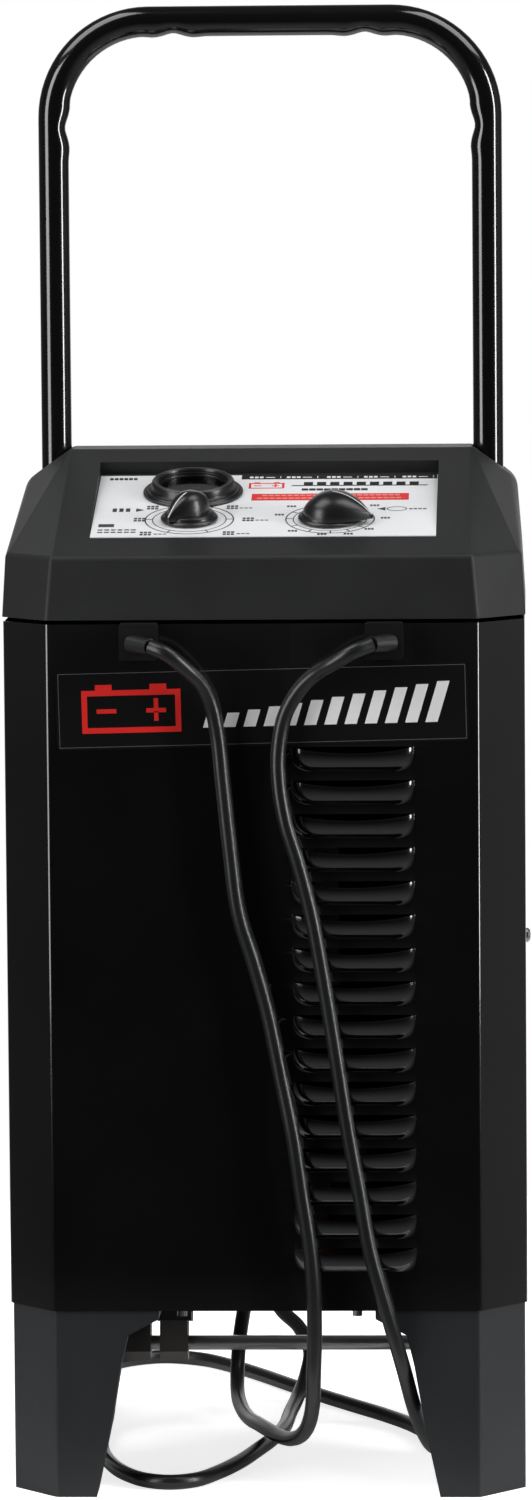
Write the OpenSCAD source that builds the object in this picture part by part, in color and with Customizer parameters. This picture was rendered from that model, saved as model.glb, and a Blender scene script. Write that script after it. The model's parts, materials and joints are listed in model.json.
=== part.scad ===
// Wheeled battery charger: sheet-steel cabinet on two front feet and two rear wheels, with a moulded
// top cover, a tubular push handle and two cables that end in battery clamps.
// +Z is up, the front faces -Y, and the origin is on the floor under the middle of the object.

/* [Cabinet] */
// Half of the cabinet's width
cabinet_half_w = 158.5; // [156:0.5:160]
// Half of the flat front face's width
front_half_w = 130; // [126:1:132]
// How far back the corner chamfers reach
chamfer_depth = 31; // [28:1:34]
// Depth of the cabinet, front face to rear panel
cabinet_depth = 214; // [212:1:216]
// Height of the cabinet's lower edge
cabinet_bottom = 115.4; // [114:0.2:117]
// Height of the cabinet's upper edge
cabinet_top = 535; // [533:0.5:536]
// Thickness of the sheet steel
sheet = 1; // [0.8:0.1:1.4]

/* [Louvres] */
// Number of louvres
louvre_count = 16; // [10:1:16]
// Distance from one louvre to the next
louvre_pitch = 20.4; // [19:0.2:20.4]
// Width of one louvre
louvre_w = 74.5; // [60:0.5:76]
// Height of one louvre
louvre_h = 14.5; // [12:0.5:15]
// How far a louvre bulges
louvre_bulge = 5.5; // [4:0.5:6]

/* [Top cover] */
// Height of the cover's lower edge
cover_bottom = 537.5; // [537:0.5:538]
// Height where the sloping top starts
cover_front_top = 575; // [573:0.5:577]
// Height of the cover's crest
cover_crest = 632; // [628:1:634]
// Wall thickness of the moulding
cover_wall = 2.6; // [2.2:0.1:3]

/* [Control panel] */
// Half of the panel recess's width
panel_half_w = 105.5; // [104:0.5:106]
// Angle of the recess floor
panel_tilt = 15; // [14:0.5:15.5]
// Length of the recess floor up its slope
panel_length = 124.2; // [122:0.2:126]

/* [Handle] */
// Diameter of the handle tube
handle_d = 19.2; // [18:0.2:20]
// Half of the distance between the two uprights
handle_half_w = 136; // [134:0.5:137]
// Overall height of the handle
handle_top = 908; // [880:1:930]
// Radius of the handle's bends, at the tube's centre
handle_bend = 60; // [55:1:70]

/* [Running gear] */
// Diameter of the wheels
wheel_d = 105; // [102:0.5:106]
// Width of a wheel
wheel_w = 28; // [24:1:28]
// Diameter of the axle
axle_d = 9.5; // [9:0.1:10]

/* [Cables] */
// Diameter of the two cables
cord_d = 9.3; // [8.5:0.1:9.5]
// Sides of a cable's cross-section
cord_sides = 8; // [8:1:12]

/* [Hidden] */
$fn = 64;
hull_fn = 28;

front_y = -132;
rear_y = front_y + cabinet_depth;
chamfer_turn = atan2(chamfer_depth, cabinet_half_w - front_half_w);
bend_r = 3;

// ---- cover
cover_draft = 1.8;
cover_lip = 0.5;
cover_depth = 215;
crest_depth = 170;
cover_slope = atan2(cover_crest - cover_front_top, crest_depth);

// ---- control panel, in its own frame: x across, y up the slope, z out of the floor
panel_front = 30;
panel_lip_z = cover_front_top + panel_front * tan(cover_slope);
label_t = 0.5;
meter_at = [-46, 85];
rate_at = [-46, 32.8];
timer_at = [40, 32.8];
needle_pivot = 14;
meter_r = 21;
meter_case_r = 23.4;
needle_rest = 135;
shaft_r = 3;
shaft_length = 37;
rate_points = 232;
timer_points = -20;
bush_r = 5;

// ---- louvres
louvre_x = 54.25;
louvre_first_z = 453;
lip_drop = 4;
louvre_back = 3;
louvre_root = 0.4;

// ---- cable outlets
gland_x = 74;
gland_z = 525;
gland_out = 13;
boot_base_r = 5.9;
boot_tip_r = cord_d / 2 + 0.25;

// ---- running gear
axle_z = wheel_d / 2;
axle_y = rear_y + 17;
wheel_x = 132.5;
axle_half = 152;
running_gap = 0.06;
bracket_x = 112.5;
bracket_t = 3;

// ---- feet
foot_inset = 1.5;
foot_wall = 3;
foot_top = cabinet_bottom;
foot_inner = [105, 96.5, 89.5, 85, 66];
foot_heights = [0, 40, 81, 100, 110];
foot_screws_at = [[82, -100], [145, -60], [145, -20]];
bracket_screws_y = [50, 74];

// ---- handle
handle_y = front_y + 195;
handle_foot_z = 430;
handle_wall = 1.6;

// ---- inside the cabinet
core = [120, 60, 100];
core_limb = 20;
winding_t = 18;
rail_x = 54;
rail_length = 140;
rail_t = 4;
core_z = cabinet_bottom + 1.5 + rail_t;
core_y = front_y + 105;

// ---- rear panel, places as [x, height]
mains_at = [105, 165];
breaker_at = [105, 220];
bush_hole = 8;
side_screw_z = [321];
rear_screw_z = [130, 250, 300, 520];

// ---- cable storage
hook_r = 23;
hook_rim_r = 40;
hook_upper_z = 400;
hook_lower_z = 225;
hook_depth = 34;
hook_rim_t = 4;
hank_r = 28;
hank_layers = 2;
hank_from = 221;

// ---- clamps, in their own frame: u along the clamp from the axle, v across it
clamp_x = [-69, -93];
clamp_lean = 12;
clamp_pivot = 45;
clamp_w = 18;
clamp_pin_r = 2;
cheek_r = 4.6;
cheek_t = 1.6;
arm_cheek_x = 6.6;
lever_cheek_x = 4.6;
jaw_gap = 0.25;

// Cable routes as [x, depth behind the front face, height]
left_route = [
    [-66, -22, 523], [-56, -26, 519], [-45, -22, 510], [-36, -14, 500], [-31, -9, 489],
    [-27, -7, 470], [-24, -7, 440], [-20, -7, 400], [-15, -7, 360], [-6, -7, 330], [2, -7, 300],
    [10, -8.5, 260], [17, -11, 225], [22, -11, 190], [27, -11, 155], [29, -9, 124], [29, -4, 98],
    [28, 3, 74], [27, 14, 55], [24, 30, 40], [19, 50, 29], [12, 74, 21.5], [4, 100, 17.5],
    [-4.5, 128, 16], [-12, 155, 14.5], [-19, 185, 12], [-25, 215, 12.5], [-29, 243, 17],
    [-30, 264, 28], [-29, 277, 46], [-26, 281, 66], [-20, 276, 95], [-6, 258, 132],
    [13, 238, 168], [25, 225, 200], [28, 221, 225]];
left_tail = [
    [-28, 231, 300], [-30, 236, 275], [-38, 250, 248], [-52, 267, 222], [-65, 278, 198],
    [-69, 278, 177.7]];
right_floor = [
    [67, -22, 524], [56, -26, 520], [44, -22, 513], [33, -14, 506], [23, -9, 496],
    [14, -7, 480], [10, -7, 460], [10, -8, 440], [14, -10, 415], [21, -11, 392], [29, -11, 360],
    [36, -11, 321], [44, -11, 270], [50, -11, 230], [57, -11, 190], [63, -11, 155], [70, -9, 128],
    [77, -4, 102], [83, 6, 78], [88, 24, 54], [93, 50, 33], [98, 80, 17], [102, 112, 8],
    [101, 140, 5], [96, 168, 5], [84, 200, 5], [66, 232, 5], [46, 262, 5], [25, 294, 5],
    [2, 332, 5], [-18, 366, 5], [-40, 399, 5], [-62, 423, 5], [-88, 432, 5], [-112, 418, 5],
    [-126, 388, 5], [-124, 345, 5], [-116, 292, 5], [-113, 235, 5], [-112, 180, 5],
    [-110, 128, 5], [-103, 86, 5], [-91, 50, 5], [-76, 28, 5], [-61, 22, 5], [-46, 29, 5],
    [-33, 52, 5], [-21, 84, 5], [-11, 122, 5], [-3, 156, 5], [3, 195, 5], [5, 235, 5.5]];
right_up = [
    [9, 268, 10], [14, 291, 21], [16, 299, 34], [9, 298, 50], [-3, 291, 64], [-10, 289, 85],
    [-8, 281, 110], [2, 267, 137], [17, 251, 165], [28, 241.3, 190]];
right_tail = [
    [-34, 247, 290], [-47, 257, 255], [-67, 268, 225], [-85, 277, 200], [-93, 278, 177.7]];
lap_r = hank_r + 0.5;
lap_depth = 241;
right_route = concat(
    right_floor, right_up,
    [for (z = [212, 240, 290, 340, 385]) [lap_r, lap_depth, z]],
    [for (a = [0:20:180]) [lap_r * cos(a), lap_depth, hook_upper_z + lap_r * sin(a)]],
    [for (z = [385, 330]) [-lap_r, lap_depth, z]],
    right_tail);

// ==== outlines and small helpers

// Plan outline of the cabinet, every edge moved in by inset, as far back as rear
function plan(inset, rear) =
    let(side = cabinet_half_w - inset,
        front = front_half_w - inset * tan(chamfer_turn / 2),
        corner = front_y + chamfer_depth + inset * tan((90 - chamfer_turn) / 2))
    [[-front, front_y + inset], [front, front_y + inset], [side, corner],
     [side, front_y + rear], [-side, front_y + rear], [-side, corner]];

// One corner of an outline as an arc
function arc_corner(before, corner, after, r, steps) =
    let(u = (before - corner) / norm(before - corner),
        v = (after - corner) / norm(after - corner),
        half = acos(u * v) / 2,
        centre = corner + (u + v) / norm(u + v) * r / sin(half),
        first = corner + u * r / tan(half) - centre,
        last = corner + v * r / tan(half) - centre,
        start = atan2(first.y, first.x),
        sweep = atan2(cross(first, last), first * last))
    [for (i = [0:steps])
        centre + r * [cos(start + sweep * i / steps), sin(start + sweep * i / steps)]];

// An outline with all its corners rounded
function rounded(points, r, steps = 4) =
    let(n = len(points))
    [for (i = [0:n - 1])
        each arc_corner(points[(i + n - 1) % n], points[i], points[(i + 1) % n], r, steps)];

function rectangle(w, h) = [[-w / 2, -h / 2], [w / 2, -h / 2], [w / 2, h / 2], [-w / 2, h / 2]];

module plate(w, h, t, r) linear_extrude(t) polygon(rounded(rectangle(w, h), r));

// A plate that stands upright, facing the front
module wall_plate(w, h, t, r) rotate([90, 0, 0]) plate(w, h, t, r);

module both_sides() {
    children();
    mirror([1, 0, 0]) children();
}

module panel_place() translate([0, front_y + panel_front, panel_lip_z]) rotate([panel_tilt, 0, 0])
    children();

module ring(outer, inner, height) difference() {
    cylinder(r = outer, h = height);
    translate([0, 0, -1]) cylinder(r = inner, h = height + 2);
}

// A pan-head screw whose head points along +Z, its seat at z = 0
module pan_screw(r, length) {
    rotate_extrude() polygon([
        [0, -length], [r * 0.5, -length], [r * 0.5, 0], [r, 0], [r, r * 0.3], [r * 0.75, r * 0.55],
        [r * 0.3, r * 0.65], [0, r * 0.65]]);
}

// ==== top cover

// Spheres that shape the sloping top: [x, depth, height, radius], mirrored to both sides
function cover_balls() =
    let(edge_r = 4, edge_depth = cover_draft + edge_r)
    [[front_half_w - 4.5, edge_depth, cover_front_top + edge_depth * tan(cover_slope)
        - edge_r / cos(cover_slope), edge_r],
     [cabinet_half_w - 5.5, chamfer_depth + 4, cover_front_top - 2, 4],
     [cabinet_half_w - 5.5, cover_depth - 4, cover_front_top - 2, 4],
     [front_half_w - 6, crest_depth, cover_crest - 6, 6],
     [front_half_w - 6, cover_depth - 6, cover_crest - 6, 6],
     [front_half_w + 10.5, crest_depth, cover_crest - 27.5, 14],
     [front_half_w + 10.5, cover_depth - 14, cover_crest - 27.5, 14]];

// The cover's outer shape, or with an inset the hollow inside it
module cover_form(inset) hull() {
    translate([0, 0, cover_bottom - inset]) linear_extrude(1)
        polygon(rounded(plan(inset - cover_lip, cover_depth - inset), 4));
    both_sides() for (b = cover_balls())
        translate([b[0], front_y + b[1], b[2]]) sphere(r = b[3] - inset, $fn = hull_fn);
}

module panel_block(margin, low, high)
    translate([-panel_half_w - margin, -margin, low])
        cube([2 * (panel_half_w + margin), panel_length + 2 * margin, high - low]);

module top_cover() color([0.15, 0.155, 0.155]) difference() {
    union() {
        difference() {
            cover_form(0);
            cover_form(cover_wall);
        }
        intersection() {
            cover_form(0.2);
            panel_place() panel_block(cover_wall, -cover_wall, 40);
        }
    }
    panel_place() {
        panel_block(0, 0, 40);
        for (at = [rate_at, timer_at])
            translate([at.x, at.y, -10]) cylinder(r = bush_r + 0.2, h = 20);
        translate([meter_at.x, meter_at.y, -10]) cylinder(r = meter_case_r + 0.2, h = 20);
    }
    both_sides() translate([handle_half_w, handle_y, cover_bottom + 4])
        cylinder(r = handle_d / 2 + 2, h = 120);
}

module control_label() color([0.78, 0.79, 0.8]) panel_place() difference() {
    translate([-panel_half_w + 0.5, 0.5, 0]) cube([2 * panel_half_w - 1, 118.5, label_t]);
    for (at = [rate_at, timer_at])
        translate([at.x, at.y, -1]) cylinder(r = bush_r + 0.2, h = 3);
    translate([meter_at.x, meter_at.y, -1]) cylinder(r = meter_case_r + 0.2, h = 3);
}

// ==== ammeter

module meter_place() panel_place() translate([meter_at.x, meter_at.y, label_t]) children();

module meter_housing() color([0.05, 0.05, 0.055]) meter_place() {
    rotate_extrude() polygon([
        [meter_r, -16], [meter_case_r, -16], [meter_case_r, 0], [30.8, 0], [30.8, 1.6], [29, 3],
        [26, 3.4], [25.4, 7.4], [24.4, 8.6], [22, 8.6], [meter_r, 7.4]]);
    translate([0, 0, -19]) cylinder(r = meter_case_r, h = 3);
}

module meter_lens() color([0.6, 0.65, 0.68, 0.4]) meter_place() translate([0, 0, 2])
    cylinder(r = meter_r - 0.02, h = 1.5);

module meter_dial() color([0.9, 0.9, 0.88]) meter_place() difference() {
    translate([0, 0, -5]) cylinder(r = meter_r - 0.1, h = 1);
    translate([0, -needle_pivot, -6]) cylinder(r = 1.6, h = 3);
}

module meter_needle() color([0.8, 0.1, 0.08]) meter_place() translate([0, -needle_pivot, -3.4]) {
    rotate([0, 0, needle_rest]) translate([0, -0.5, 0]) cube([20, 1, 0.6]);
    translate([0, 0, -5]) cylinder(r = 1.4, h = 6);
}

// ==== knobs

module rate_place() panel_place() translate([rate_at.x, rate_at.y, label_t]) children();
module timer_place() panel_place() translate([timer_at.x, timer_at.y, label_t]) children();

// The skirt and the wedge grip, seen from above pointing along +X
module rate_knob() color([0.03, 0.03, 0.03]) rate_place() difference() {
    union() {
        translate([0, 0, 0.6]) rotate_extrude() polygon([
            [0, 0], [17.5, 0], [17.5, 1.6], [15.5, 3.2], [14.5, 5.5], [0, 5.5]]);
        rotate([0, 0, rate_points]) hull() {
            translate([-14, -8, 4]) cube([20, 16, 2]);
            translate([16.5, -0.8, 4]) cube([1, 1.6, 2]);
            translate([-9, -2.4, 18]) cube([19, 4.8, 1]);
        }
    }
    translate([0, 0, -1]) cylinder(r = shaft_r, h = 14);
}

module rate_shaft() color([0.7, 0.7, 0.7]) rate_place() translate([0, 0, -24])
    cylinder(r = shaft_r, h = shaft_length);

module switch_body(w, h) {
    difference() {
        union() {
            translate([-w / 2, -w / 2, -cover_wall - label_t - h]) cube([w, w, h]);
            translate([0, 0, -cover_wall - label_t]) cylinder(r = bush_r, h = cover_wall + label_t);
        }
        translate([0, 0, -h]) cylinder(r = shaft_r + running_gap, h = h + 5);
    }
}

module rate_switch() color([0.75, 0.7, 0.6]) rate_place() switch_body(36, 26);

module timer_knob() color([0.03, 0.03, 0.03]) timer_place() difference() {
    union() {
        translate([0, 0, 0.6]) rotate_extrude() polygon([
            [0, 0], [19.5, 0], [19.5, 1.2], [18, 3], [0, 3]]);
        rotate([0, 0, timer_points]) hull() {
            translate([-3, 0, 2.5]) cylinder(r = 15.5, h = 4, $fn = hull_fn);
            translate([-3, 0, 2.5]) cylinder(r = 10, h = 13, $fn = hull_fn);
            translate([26, -1, 2.5]) cube([2, 2, 2.5]);
            translate([-6, -2.4, 17]) cube([14, 4.8, 1]);
        }
    }
    translate([0, 0, -1]) cylinder(r = shaft_r, h = 14);
}

module timer_shaft() color([0.7, 0.7, 0.7]) timer_place() translate([0, 0, -24])
    cylinder(r = shaft_r, h = shaft_length);

module timer_clockwork() color([0.6, 0.6, 0.62]) timer_place() switch_body(44, 28);

// ==== cabinet

// One louvre's hood, or with an inset the space under it, up to its top edge at z = 0
module louvre_form(inset, back) intersection() {
    bulge = louvre_bulge - inset;
    drop = louvre_h + louvre_root - inset;
    translate([-louvre_w / 2 + inset, front_y, 0]) rotate([90, 0, 90])
        linear_extrude(louvre_w - 2 * inset) polygon(concat(
            [[back, inset - louvre_h], [back, louvre_root]],
            [for (a = [0:18:90]) [-bulge * cos(a), louvre_root - drop * sin(a)]]));
    translate([0, 0, -louvre_h - 2]) linear_extrude(louvre_h + 4) polygon(concat(
        [[louvre_w / 2 - inset, front_y + back], [-louvre_w / 2 + inset, front_y + back]],
        [for (a = [0:18:180]) [
            -(louvre_w / 2 - inset) * cos(a), front_y - bulge * pow(sin(a), 0.6)]]));
}

// What is cut off above a hood's lip, which drops towards its middle
module above_lip() translate([0, front_y - 0.01, 0]) rotate([90, 0, 0]) linear_extrude(20)
    polygon(concat([[louvre_w, 5], [-louvre_w, 5], [-louvre_w, 0]],
        [for (i = [-5:5]) [i * louvre_w / 10, -lip_drop * (1 - i * i / 25)]], [[louvre_w, 0]]));

module louvre_places() for (i = [0:louvre_count - 1])
    translate([louvre_x, 0, louvre_first_z + louvre_h / 2 - i * louvre_pitch]) children();

module cabinet_wrap() color([0.04, 0.04, 0.042]) difference() {
    union() {
        translate([0, 0, cabinet_bottom]) linear_extrude(cabinet_top - cabinet_bottom) difference() {
            polygon(rounded(plan(0, cabinet_depth - sheet), bend_r));
            polygon(rounded(plan(sheet, cabinet_depth - 2 * sheet), bend_r - sheet));
        }
        louvre_places() louvre_form(0, sheet / 2);
    }
    louvre_places() {
        louvre_form(sheet, louvre_back);
        above_lip();
    }
    translate([15 - cabinet_half_w, rear_y - 20, 0]) cube([2 * cabinet_half_w - 30, 30, 600]);
    both_sides() translate([gland_x, front_y, gland_z]) cube([14, 10, 14], center = true);
}

module rear_panel() color([0.05, 0.05, 0.052]) translate([0, rear_y, 0]) difference() {
    translate([0, 0, (cabinet_bottom + cabinet_top) / 2])
        wall_plate(2 * cabinet_half_w - 3, cabinet_top - cabinet_bottom - 2, sheet, 4);
    for (i = [0:9]) both_sides() translate([121, 1, 330 + i * 16]) wall_plate(40, 5, 3, 2.4);
    translate([mains_at.x, 1, mains_at.y]) rotate([90, 0, 0]) cylinder(r = bush_hole, h = 3);
    translate([breaker_at.x, 1, breaker_at.y]) rotate([90, 0, 0]) cylinder(r = 6.5, h = 3);
}

module base_plate() color([0.05, 0.05, 0.052]) translate([0, 0, cabinet_bottom]) difference() {
    linear_extrude(1.5) polygon(rounded(plan(sheet + 0.2, cabinet_depth - 2 * sheet - 0.2), 2));
    for (i = [-3:3]) translate([i * 16, -65, -1]) plate(6, 60, 4, 2.9);
    both_sides() translate([0, 0, -cabinet_bottom]) base_bolt_places() cylinder(r = 3.05, h = 30);
}

module brand_label() color([0.02, 0.02, 0.02]) translate([0, front_y, 485]) rotate([0, -1.2, 0])
    wall_plate(249, 48, 0.4, 3);

// ==== cable outlets, drawn on the right and mirrored for the left

module gland() color([0.045, 0.045, 0.05]) translate([gland_x, front_y, gland_z]) difference() {
    union() {
        rotate([90, 0, 0]) linear_extrude(gland_out) polygon(rounded(rectangle(23, 22), 1.5));
        translate([-6.8, 0, -6.8]) cube([13.6, 6, 13.6]);
    }
    translate([0, 8, 0]) rotate([90, 0, 0]) cylinder(r = cord_d / 2, h = 9);
}

module gland_right() gland();
module gland_left() mirror([1, 0, 0]) gland();

// The strain relief: a tapered sleeve from the gland's face to the start of the cable
module boot(side, end) difference() {
    start = [side * (gland_x + 4), front_y - gland_out + 3, gland_z - 1];
    way = end - start;
    translate(start) rotate([0, acos(way.z / norm(way)), atan2(way.y, way.x)])
        cylinder(r1 = boot_base_r, r2 = boot_tip_r, h = norm(way));
    translate([side * gland_x - 30, front_y - gland_out, gland_z - 30]) cube(60);
}

module boot_left() color([0.04, 0.04, 0.042]) boot(-1, route_point(left_route[0]));
module boot_right() color([0.04, 0.04, 0.042]) boot(1, route_point(right_route[0]));

// ==== feet

// The leg seen from the front, between its slanting inner edge and the far side
module foot_front_view(inset) polygon(concat(
    [for (i = [0:len(foot_inner) - 1]) [foot_inner[i] + inset, foot_heights[i]]],
    [[foot_inner[4] + inset, foot_top], [170, foot_top], [170, 0]]));

// The leg seen from the side: it reaches furthest back at its top
module foot_side_view() polygon([
    [front_y, 0], [front_y + chamfer_depth + 8, 0], [front_y + chamfer_depth + 22, 6],
    [front_y + 90, 14], [front_y + 105, 60], [front_y + 120, 100], [front_y + 136, foot_top],
    [front_y, foot_top]]);

module foot() color([0.13, 0.14, 0.145]) difference() {
    intersection() {
        union() {
            linear_extrude(foot_top) difference() {
                polygon(rounded(plan(foot_inset, cabinet_depth), 4));
                polygon(rounded(plan(foot_inset + foot_wall, cabinet_depth), 2));
            }
            translate([0, 0, foot_top - foot_wall]) linear_extrude(foot_wall)
                polygon(rounded(plan(foot_inset, cabinet_depth), 4));
            translate([0, front_y + foot_inset + 26, 0]) rotate([90, 0, 0]) linear_extrude(26)
                difference() {
                    foot_front_view(0);
                    foot_front_view(foot_wall);
                }
            translate([0, front_y, 0]) for (x = [112, 132]) translate([x, 3, 20])
                cube([2, 24, foot_top - 20]);
            translate([104, front_y + foot_inset + 1, 0]) cube([45, 24, 3]);
        }
        translate([0, 200, 0]) rotate([90, 0, 0]) linear_extrude(400) foot_front_view(0);
        rotate([90, 0, 90]) linear_extrude(200) foot_side_view();
        linear_extrude(foot_top) polygon(rounded(plan(foot_inset, cabinet_depth), 4));
    }
    for (at = foot_screws_at) translate([at.x, at.y, foot_top - 10]) cylinder(r = 2.4, h = 20);
}

module foot_right() foot();
module foot_left() mirror([1, 0, 0]) foot();

// ==== running gear

module along_x(x, r, length) translate([x, axle_y, axle_z]) rotate([0, 90, 0])
    cylinder(r = r, h = length);

module axle() color([0.6, 0.61, 0.62]) along_x(-axle_half, axle_d / 2, 2 * axle_half);

module axle_brackets() color([0.05, 0.05, 0.052]) both_sides() difference() {
    union() {
        translate([bracket_x, 0, 0]) rotate([90, 0, 90]) linear_extrude(bracket_t) polygon(concat(
            [[axle_y - 50, cabinet_bottom], [axle_y - 50, cabinet_bottom - 12]],
            [for (i = [0:8]) [axle_y - 11 * cos(i * 22.5), axle_z - 11 * sin(i * 22.5)]],
            [[rear_y - 2, cabinet_bottom - 12], [rear_y - 2, cabinet_bottom]]));
        translate([bracket_x - 22, axle_y - 50, cabinet_bottom - bracket_t])
            cube([22 + bracket_t, rear_y - axle_y + 48, bracket_t]);
    }
    along_x(bracket_x - 5, axle_d / 2, 20);
    for (y = bracket_screws_y) translate([bracket_x - 12, y, cabinet_bottom - 10])
        cylinder(r = 2.4, h = 20);
}

module axle_washers() color([0.7, 0.7, 0.71]) both_sides() translate([bracket_x + bracket_t, axle_y, axle_z])
    rotate([0, 90, 0]) ring(9, axle_d / 2, wheel_x - wheel_w / 2 - bracket_x - bracket_t - 0.4);

module axle_caps() color([0.7, 0.7, 0.71]) both_sides()
    translate([wheel_x + wheel_w / 2 + 0.4, axle_y, axle_z]) rotate([0, 90, 0]) rotate_extrude()
        polygon([[axle_d / 2, 0], [9, 0], [9, 1.2], [7, 3.4], [7, 6.5], [5.5, 8], [0, 8.4], [0, 6],
                 [axle_d / 2, 6]]);

module wheel_place(side) translate([side * wheel_x, axle_y, axle_z]) rotate([0, 90, 0]) children();

// The moulded hub: bore, web with ribs, and the rim that carries the tyre
module wheel_hub(side) color([0.06, 0.06, 0.062]) wheel_place(side) {
    half = wheel_w / 2;
    difference() {
        union() {
            rotate_extrude() polygon([
                [0, -half], [9, -half], [10, -3], [30, -3], [32, 3 - half], [40, 3 - half],
                [40, half - 3], [32, half - 3], [30, 3], [10, 3], [9, half], [0, half]]);
            for (i = [0:7]) rotate([0, 0, i * 45]) translate([8, -1.2, -9]) cube([24, 2.4, 18]);
        }
        translate([0, 0, -half - 1]) cylinder(r = axle_d / 2 + running_gap, h = wheel_w + 2);
    }
}

module wheel_tyre(side) color([0.03, 0.03, 0.03]) wheel_place(side) {
    r = wheel_d / 2;
    half = wheel_w / 2;
    rotate_extrude() polygon(concat(
        [[40, half - 3], [40, 3 - half], [41, -half]],
        [for (i = [0:6]) [r - 6 + 6 * sin(i * 15), 5 - half - 5 * cos(i * 15)]],
        [for (i = [6:-1:0]) [r - 6 + 6 * sin(i * 15), half - 5 + 5 * cos(i * 15)]],
        [[41, half]]));
}

module wheel_left_hub() wheel_hub(-1);
module wheel_left_tyre() wheel_tyre(-1);
module wheel_right_hub() wheel_hub(1);
module wheel_right_tyre() wheel_tyre(1);

// ==== handle

module handle_bolt_places() both_sides() for (z = [460, 500])
    translate([handle_half_w - 1, rear_y, z]) rotate([-90, 0, 0]) children();

module handle_bolt_holes() handle_bolt_places() translate([0, 0, -45]) cylinder(r = 3.05, h = 60);

// The handle's centre line from one foot to the other, as a solid of radius r
module handle_rod(r) {
    bend_z = handle_top - handle_d / 2 - handle_bend;
    both_sides() {
        translate([handle_half_w, handle_y, handle_foot_z]) cylinder(r = r, h = bend_z - handle_foot_z);
        translate([handle_half_w - handle_bend, handle_y, bend_z]) rotate([90, 0, 0])
            rotate_extrude(angle = 90) translate([handle_bend, 0]) circle(r = r);
    }
    translate([handle_bend - handle_half_w, handle_y, handle_top - handle_d / 2]) rotate([0, 90, 0])
        cylinder(r = r, h = 2 * (handle_half_w - handle_bend));
}

module handle() color([0.03, 0.03, 0.03]) difference() {
    handle_rod(handle_d / 2);
    both_sides() translate([handle_half_w, handle_y, handle_foot_z - 1])
        cylinder(r = handle_d / 2 - handle_wall, h = 380);
    handle_bolt_holes();
}

module handle_saddles() color([0.05, 0.05, 0.05]) difference() {
    both_sides() translate([handle_half_w - 7, handle_y + 2, 445])
        cube([13.5, rear_y - sheet - handle_y - 2, 70]);
    both_sides() translate([handle_half_w, handle_y, 400]) cylinder(r = handle_d / 2, h = 150);
    handle_bolt_holes();
}

module handle_bolts() color([0.65, 0.65, 0.66]) handle_bolt_places() {
    translate([0, 0, -38]) cylinder(r = 3, h = 38);
    rotate_extrude() polygon([[0, 0], [6, 0], [6, 1.5], [4, 3.5], [0, 4]]);
}

// ==== inside the cabinet

module core_place() translate([0, core_y, core_z]) children();

module transformer_core() color([0.35, 0.35, 0.36]) core_place() difference() {
    translate([-core.x / 2, -core.y / 2, 0]) cube(core);
    for (x = [-2 * core_limb, core_limb]) translate([x, -core.y, core_limb])
        cube([core_limb, 2 * core.y, core.z - 2 * core_limb]);
    core_bolt_places() translate([0, 0, -5]) cylinder(r = 2.6, h = core.y + 10);
}

module core_bolt_places() both_sides() for (z = [core_limb / 2, core.z - core_limb / 2])
    translate([core.x / 2 - core_limb / 2, core.y / 2, z]) rotate([90, 0, 0]) children();

// A winding: a rounded frame around the core's middle limb
module winding(z, h) core_place() translate([0, 0, z]) linear_extrude(h) difference() {
    polygon(rounded(rectangle(2 * core_limb + 2 * winding_t, core.y + 2 * winding_t), 10));
    square([2 * core_limb + 1, core.y + 1], center = true);
}

module primary_winding() color([0.65, 0.35, 0.15]) winding(core_limb + 1, 27);
module secondary_winding() color([0.75, 0.7, 0.55]) winding(core_limb + 31, 27);

module transformer_frame() color([0.55, 0.56, 0.57]) both_sides() difference() {
    translate([rail_x - 8, core_y - rail_length / 2, core_z - rail_t]) cube([16, rail_length, rail_t]);
    base_bolt_places() cylinder(r = 3.05, h = 30);
}

module base_bolt_places() for (end = [-1, 1])
    translate([rail_x, core_y + end * (rail_length / 2 - 10), cabinet_bottom - 10]) children();

module transformer_bolts() color([0.3, 0.3, 0.31]) {
    core_place() core_bolt_places() {
        translate([0, 0, 0]) cylinder(r = 2.5, h = core.y);
        translate([0, 0, core.y]) cylinder(r = 5, h = 3, $fn = 6);
        translate([0, 0, -3]) cylinder(r = 5, h = 3, $fn = 6);
    }
    both_sides() base_bolt_places() {
        translate([0, 0, -1]) cylinder(r = 3, h = 18);
        translate([0, 0, 3]) cylinder(r = 5.5, h = 7, $fn = 6);
        translate([0, 0, 11.5 + rail_t]) cylinder(r = 5.5, h = 4, $fn = 6);
    }
}

module heat_sink() color([0.7, 0.71, 0.72]) difference() {
    union() {
        translate([-70, rear_y - sheet - 24, 290]) cube([110, 4, 90]);
        for (x = [-62, 32], z = [300, 370]) translate([x, rear_y - sheet - 20, z]) rotate([-90, 0, 0])
            cylinder(r = 4, h = 20);
    }
    diode_places() translate([0, 0, -1]) cylinder(r = 6.3, h = 12);
}

module diode_places() for (x = [-50, -30, 0, 20])
    translate([x, rear_y - sheet - 19, 335]) rotate([90, 0, 0]) children();

module diodes() color([0.6, 0.55, 0.45]) diode_places() rotate_extrude() polygon([
    [0, 1], [6.3, 1], [6.3, 7.5], [5, 7.5], [4.5, 9], [1.2, 9], [1.2, 16], [0, 16]]);

module circuit_breaker() color([0.08, 0.08, 0.09]) translate([breaker_at.x, rear_y - sheet, breaker_at.y]) {
    translate([-9, -24, -13]) cube([18, 24, 26]);
    rotate([-90, 0, 0]) rotate_extrude() polygon([
        [0, -1], [6.5, -1], [6.5, 1], [8.5, 1], [8.5, 3], [5, 3.6], [3.4, 3.6], [3.4, 7], [0, 7.6]]);
}

// ==== rear fittings

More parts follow.
